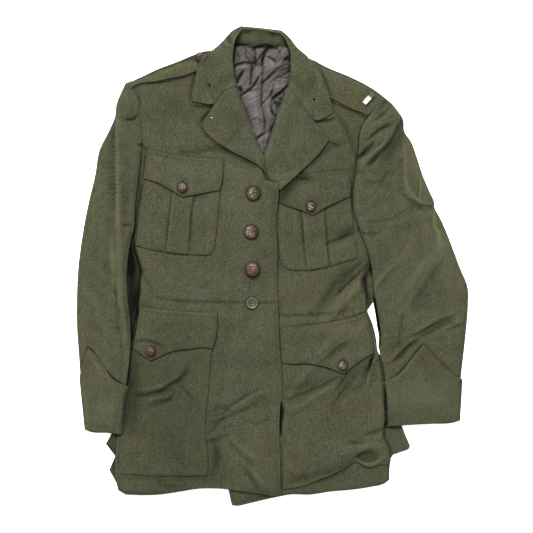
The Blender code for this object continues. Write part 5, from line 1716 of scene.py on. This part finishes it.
def add_stitching(name, lines, material="thread", half=STITCH_HALF, length=STITCH_LENGTH):
    """Short raised stitches along lines on what lies there."""
    verts = []
    faces = []
    half_width, half_height = half
    corners = len(STITCH_SECTION)
    for line in lines:
        line = np.array(line, float)
        middles, ways = stitch_centres(line, length * STITCH_PITCH / STITCH_LENGTH)
        for middle, way in zip(middles, ways):
            side = np.array((-way[1], way[0]))
            centres = [middle + way * share * length / 2 for share, _, _ in STITCH_RINGS]
            heights = pile_at(np.array(centres))
            start = len(verts)
            for centre, height, (_, size, lift) in zip(centres, heights, STITCH_RINGS):
                for dx, dz in STITCH_SECTION:
                    x, y = centre + side * dx * half_width * size
                    z = height + (dz * half_height * size + lift)
                    verts.append((x * MM, y * MM, z * MM))
            for ring in range(len(STITCH_RINGS) - 1):
                low = start + ring * corners
                for corner in range(low, low + corners - 1):
                    faces.append((corner, corner + corners, corner + corners + 1, corner + 1))
    mesh = bpy.data.meshes.new(name)
    mesh.from_pydata(verts, [], faces)
    mesh.shade_smooth()
    return add_piece(name, mesh, material)


def inset_rows(edges, rows):
    return [inset_edge(edges, *row) for row in rows]


def add_all_stitching():
    flaps = (CHEST_FLAP_LEFT, CHEST_FLAP_RIGHT, LOWER_FLAP_LEFT, LOWER_FLAP_RIGHT)
    lines = [line for flap in flaps for line in inset_rows(flap, FLAP_ROWS)]
    add_stitching("stitches_flaps", lines)
    pockets = (CHEST_POCKET_LEFT, CHEST_POCKET_RIGHT, LOWER_POCKET_LEFT, LOWER_POCKET_RIGHT)
    lines = [line for pocket in pockets for line in inset_rows(pocket, POCKET_ROWS)]
    add_stitching("stitches_pockets", lines)
    lines = inset_rows(LAPEL_LEFT, LAPEL_ROWS["left"])
    lines += inset_rows(LAPEL_RIGHT, LAPEL_ROWS["right"])
    lines += inset_rows(FRONT_LEFT, FRONT_ROWS)
    add_stitching("stitches_lapels", lines)
    for name, facts in SMALL_THINGS.items():
        add_stitching(name, *facts)


# Materials

def node(tree, kind, inputs=(), **settings):
    made = tree.nodes.new(kind)
    for key, value in settings.items():
        setattr(made, key, value)
    for key, value in dict(inputs).items():
        made.inputs[key].default_value = value
    return made


def plug(tree, value, socket):
    """The value into the socket, as a link if it comes from another node."""
    if isinstance(value, bpy.types.NodeSocket):
        tree.links.new(value, socket)
    else:
        socket.default_value = value


def math_node(tree, operation, first, second, clamp=False):
    made = node(tree, "ShaderNodeMath", operation=operation, use_clamp=clamp)
    plug(tree, first, made.inputs[0])
    plug(tree, second, made.inputs[1])
    return made.outputs[0]


def scaled(tree, value, middle, times, clamp=False):
    """(value - middle) x times"""
    return math_node(tree, "MULTIPLY", math_node(tree, "SUBTRACT", value, middle), times, clamp)


def weighed(tree, first, weight, second, other_weight):
    """first x weight + second x other weight"""
    return math_node(tree, "ADD", math_node(tree, "MULTIPLY", first, weight),
                     math_node(tree, "MULTIPLY", second, other_weight))


def mix_colour(tree, factor, first, second):
    made = node(tree, "ShaderNodeMix", data_type="RGBA")
    for key, value in ((0, factor), (6, first), (7, second)):
        plug(tree, value, made.inputs[key])
    return made.outputs[2]


def noise(tree, place, scale, detail=2.0, roughness=0.5):
    inputs = {"Scale": scale, "Detail": detail, "Roughness": roughness}
    made = node(tree, "ShaderNodeTexNoise", inputs)
    tree.links.new(place, made.inputs["Vector"])
    return made.outputs["Fac"]


def vertex_value(tree, name):
    return node(tree, "ShaderNodeAttribute", attribute_name=name).outputs["Fac"]


def new_material(name, roughness, metallic=0.0, sheen=0.0, specular=0.5):
    material = bpy.data.materials.new(name)
    material.use_nodes = True
    tree = material.node_tree
    shader = tree.nodes["Principled BSDF"]
    shader.inputs["Roughness"].default_value = roughness
    shader.inputs["Metallic"].default_value = metallic
    shader.inputs["Sheen Weight"].default_value = sheen
    shader.inputs["Specular IOR Level"].default_value = specular
    materials[name] = material
    return tree, shader


def place_of(tree, turn=0.0):
    coordinates = tree.nodes.new("ShaderNodeTexCoord")
    mapping = node(tree, "ShaderNodeMapping", {"Rotation": (0, 0, math.radians(turn))})
    tree.links.new(coordinates.outputs["Object"], mapping.inputs["Vector"])
    return mapping.outputs["Vector"]


def stretched(tree, place, scale):
    mapping = node(tree, "ShaderNodeMapping", {"Scale": scale})
    tree.links.new(place, mapping.inputs["Vector"])
    return mapping.outputs["Vector"]


def dress(tree, shader, colour, height, strength, distance):
    """The colour and the bump of the fine relief."""
    tree.links.new(colour, shader.inputs["Base Color"])
    bump = node(tree, "ShaderNodeBump", {"Strength": strength, "Distance": distance})
    tree.links.new(height, bump.inputs["Height"])
    tree.links.new(bump.outputs["Normal"], shader.inputs["Normal"])


def wool(name, turn):
    """Heathered serge: dark and pale green fibres, warp and weft, pale places from rubbing and
    sun-bleaching, painted highlights, and painted shade in hollows, creases and under edges.
    """
    tree, shader = new_material(name, 0.95, sheen=0.01, specular=0.03)
    place = place_of(tree, turn)
    twill = node(tree, "ShaderNodeTexWave", {"Scale": 200.0, "Distortion": 1.2, "Detail": 1.0},
                 wave_type="BANDS", bands_direction="DIAGONAL")
    tree.links.new(place, twill.inputs["Vector"])
    flecks = noise(tree, place, 400.0, 2.0, 0.6)
    warp = noise(tree, stretched(tree, place, (1.0, 0.13, 1.0)), 620.0, 1.0)
    weft = noise(tree, stretched(tree, place, (0.2, 1.0, 1.0)), 620.0, 1.0)
    shade = 0.5
    for value, weight in (
        (noise(tree, place, 900.0, 2.0), 1.9),
        (flecks, 1.4),
        (warp, 0.62),
        (weft, 0.25),
        (noise(tree, place, 16.0, 3.0), 0.10),
        (noise(tree, place, 60.0, 2.0), 0.06),
        (twill.outputs["Fac"], 0.08),
    ):
        shade = math_node(tree, "ADD", shade, scaled(tree, value, 0.5, weight))
    hue = math_node(tree, "ADD", scaled(tree, noise(tree, place, 11.0, 3.0), 0.5, 1.7), 0.45)
    fibres = scaled(tree, noise(tree, place, 700.0, 1.0), 0.5, 1.6)
    hue = math_node(tree, "ADD", hue, fibres, clamp=True)
    colour = mix_colour(tree, shade, WOOL_DARK, mix_colour(tree, hue, WOOL_COOL, WOOL_WARM))
    wear_and_shading = vertex_value(tree, "wear_and_shading")
    fade_and_shading = vertex_value(tree, "fade_and_shading")
    # Ridges go pale from rubbing; the tones add sun-bleaching, painted highlights and painted
    # shade; hollows get painted shade
    for share, tint in (
        (scaled(tree, wear_and_shading, 0.5, 0.9, clamp=True), WOOL_WORN),
        (math_node(tree, "MULTIPLY", fade_and_shading, 1.6, clamp=True), WOOL_FADED_AND_LIT),
        (math_node(tree, "MULTIPLY", fade_and_shading, -1.0, clamp=True), WOOL_PAINTED_SHADE),
        (scaled(tree, wear_and_shading, 0.5, -2.0, clamp=True), WOOL_PAINTED_SHADE),
    ):
        colour = mix_colour(tree, share, colour, tint)
    rise = weighed(tree, twill.outputs["Fac"], 0.5, flecks, 0.9)
    dress(tree, shader, colour, rise, 0.5, 0.0005)


def satin():
    tree, shader = new_material("satin", 0.5, sheen=0.02, specular=0.12)
    place = place_of(tree)
    patches = noise(tree, place, 60.0, 3.0)
    threads = noise(tree, place, 1400.0, 1.0)
    colour = mix_colour(tree, weighed(tree, patches, 0.7, threads, 0.3), SATIN_DARK, SATIN_PALE)
    wear_and_shading = vertex_value(tree, "wear_and_shading")
    tone = vertex_value(tree, "fade_and_shading")
    # Painted shade in hollows and deep creases, and painted highlights on the lit folds
    for share, tint in (
        (scaled(tree, wear_and_shading, 0.5, -2.2, clamp=True), SATIN_PAINTED_SHADE),
        (math_node(tree, "MULTIPLY", tone, 0.8, clamp=True), SATIN_LIT),
        (math_node(tree, "MULTIPLY", tone, -0.9, clamp=True), SATIN_PAINTED_DEEP_SHADE),
    ):
        colour = mix_colour(tree, share, colour, tint)
    creases = noise(tree, stretched(tree, place, (1.0, 0.5, 1.0)), 180.0, 3.0, 0.6)
    dress(tree, shader, colour, creases, 0.25, 0.0008)


def bronze():
    """Dark brown, pale from rubbing on the raised parts and with a painted highlight on the side
    toward the light, some redder than others.
    """
    tree, shader = new_material("bronze", 0.42, metallic=0.1, specular=0.16)
    place = place_of(tree)
    spots = scaled(tree, noise(tree, place, 420.0, 2.0, 0.6), 0.42, 4.0, clamp=True)
    rubbed_and_lit = math_node(tree, "MULTIPLY", vertex_value(tree, "wear_and_shading"), spots, clamp=True)
    tarnish = vertex_value(tree, "tarnish")
    low = mix_colour(tree, tarnish, BRONZE_BROWN, BRONZE_RED)
    high = mix_colour(tree, tarnish, RUBBED_AND_LIT_PALE, RUBBED_AND_LIT_RED)
    colour = mix_colour(tree, rubbed_and_lit, low, high)
    dress(tree, shader, colour, noise(tree, place, 900.0, 2.0), 0.3, 0.0004)


def plastic():
    """Clouded green plastic with a paler rim."""
    tree, shader = new_material("plastic", 0.38, specular=0.35)
    place = place_of(tree)
    shade = weighed(tree, vertex_value(tree, "wear_and_shading"), 0.8, noise(tree, place, 300.0, 2.0), 0.22)
    colour = mix_colour(tree, shade, PLASTIC_DARK, PLASTIC_PALE)
    dress(tree, shader, colour, noise(tree, place, 700.0, 2.0), 0.2, 0.0002)


def enamel():
    """Silver with a painted white reflection over the bar's lower two thirds, brown beyond."""
    tree, shader = new_material("enamel", 0.32, metallic=0.15)
    place = place_of(tree)
    split = tree.nodes.new("ShaderNodeSeparateXYZ")
    tree.links.new(place, split.inputs["Vector"])
    turn = math.radians(BAR_TURN)
    along = weighed(tree, split.outputs["X"], math.cos(turn), split.outputs["Y"], math.sin(turn))
    centre = BAR_CENTRE[0] * math.cos(turn) + BAR_CENTRE[1] * math.sin(turn)
    end = math_node(tree, "GREATER_THAN", along, (centre + BAR_REFLECTION_END) * MM)
    speck = noise(tree, place, 500.0, 2.0)
    white = mix_colour(tree, speck, *BAR_REFLECTION_WHITES)
    brown = mix_colour(tree, speck, *BAR_BROWNS)
    dress(tree, shader, mix_colour(tree, end, white, brown), speck, 0.1, 0.0002)


def thread(name, low, high, specular):
    tree, shader = new_material(name, 0.8, specular=specular)
    place = place_of(tree)
    colour = mix_colour(tree, noise(tree, place, 800.0, 2.0), low, high)
    dress(tree, shader, colour, noise(tree, place, 1500.0, 1.0), 0.3, 0.0002)


def make_materials():
    wool("serge", 0.0)
    wool("serge_sleeve", SLEEVE_GRAIN)
    satin()
    bronze()
    plastic()
    enamel()
    for name, facts in THREADS.items():
        thread(name, *facts)


# Stage

def add_key_light():
    light = bpy.data.lights.new("key", "AREA")
    light.shape = "DISK"
    light.size = KEY_SIZE
    light.energy = KEY_POWER
    obj = bpy.data.objects.new("key", light)
    bpy.context.scene.collection.objects.link(obj)
    obj.location = KEY_PLACE
    obj.rotation_euler = (-Vector(KEY_PLACE)).to_track_quat("-Z", "Y").to_euler()


def add_floor():
    mesh = bpy.data.meshes.new("floor")
    half = FLOOR_HALF
    mesh.from_pydata([(-half, -half, 0), (half, -half, 0), (half, half, 0), (-half, half, 0)],
                     [], [(0, 1, 2, 3)])
    floor = bpy.data.objects.new("floor", mesh)
    bpy.context.scene.collection.objects.link(floor)
    material = bpy.data.materials.new("floor")
    material.use_nodes = True
    shader = material.node_tree.nodes["Principled BSDF"]
    shader.inputs["Base Color"].default_value = FLOOR_COLOUR
    shader.inputs["Emission Color"].default_value = WHITE
    shader.inputs["Emission Strength"].default_value = FLOOR_GLOW
    shader.inputs["Roughness"].default_value = FLOOR_ROUGHNESS
    mesh.materials.append(material)


def set_stage():
    scene = bpy.context.scene
    add_floor()
    world = bpy.data.worlds.new("studio")
    world.use_nodes = True
    world.node_tree.nodes["Background"].inputs["Color"].default_value = WHITE
    world.node_tree.nodes["Background"].inputs["Strength"].default_value = SKY_STRENGTH
    scene.world = world
    add_key_light()
    camera = bpy.data.cameras.new("camera")
    camera.sensor_width = SENSOR
    camera.lens = SENSOR * CAMERA_HEIGHT / FRAME_WIDTH
    obj = bpy.data.objects.new("camera", camera)
    obj.location = (*CAMERA_AIM, CAMERA_HEIGHT)
    scene.collection.objects.link(obj)
    scene.camera = obj
    scene.view_settings.view_transform = "Standard"


def clear_scene():
    for obj in list(bpy.data.objects):
        bpy.data.objects.remove(obj, do_unlink=True)


def main():
    clear_scene()
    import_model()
    make_materials()
    set_stage()
    add_back_and_lining()
    add_front("right", FRONT_RIGHT, UNDERARM_RIGHT)
    add_pockets("right", CHEST_POCKET_RIGHT, CHEST_FLAP_RIGHT, LOWER_POCKET_RIGHT,
                LOWER_FLAP_RIGHT, (PLEAT_RIGHT, PLEAT_RIGHT_END))
    add_lapel("right", LAPEL_RIGHT)
    add_front("left", FRONT_LEFT, UNDERARM_LEFT)
    add_pockets("left", CHEST_POCKET_LEFT, CHEST_FLAP_LEFT, LOWER_POCKET_LEFT,
                LOWER_FLAP_LEFT, (PLEAT_LEFT, PLEAT_LEFT_END))
    add_lapel("left", LAPEL_LEFT)
    add_strap("left", STRAP_LEFT)
    add_strap("right", STRAP_RIGHT)
    add_button("strap_button_left", *STRAP_BUTTON)
    add_rank_bar()
    add_sleeve("left", SLEEVE_LEFT, UNDERARM_LEFT, CUFF_LEFT)
    add_sleeve("right", SLEEVE_RIGHT, UNDERARM_RIGHT, CUFF_RIGHT)
    add_collar()
    add_hanger_loop()
    add_all_stitching()
    for name, facts in BUTTONS.items():
        add_button(name, *facts)
    add_stitching("button_threads", *BUTTON_THREADS)
    paint_wear_and_shade()


main()
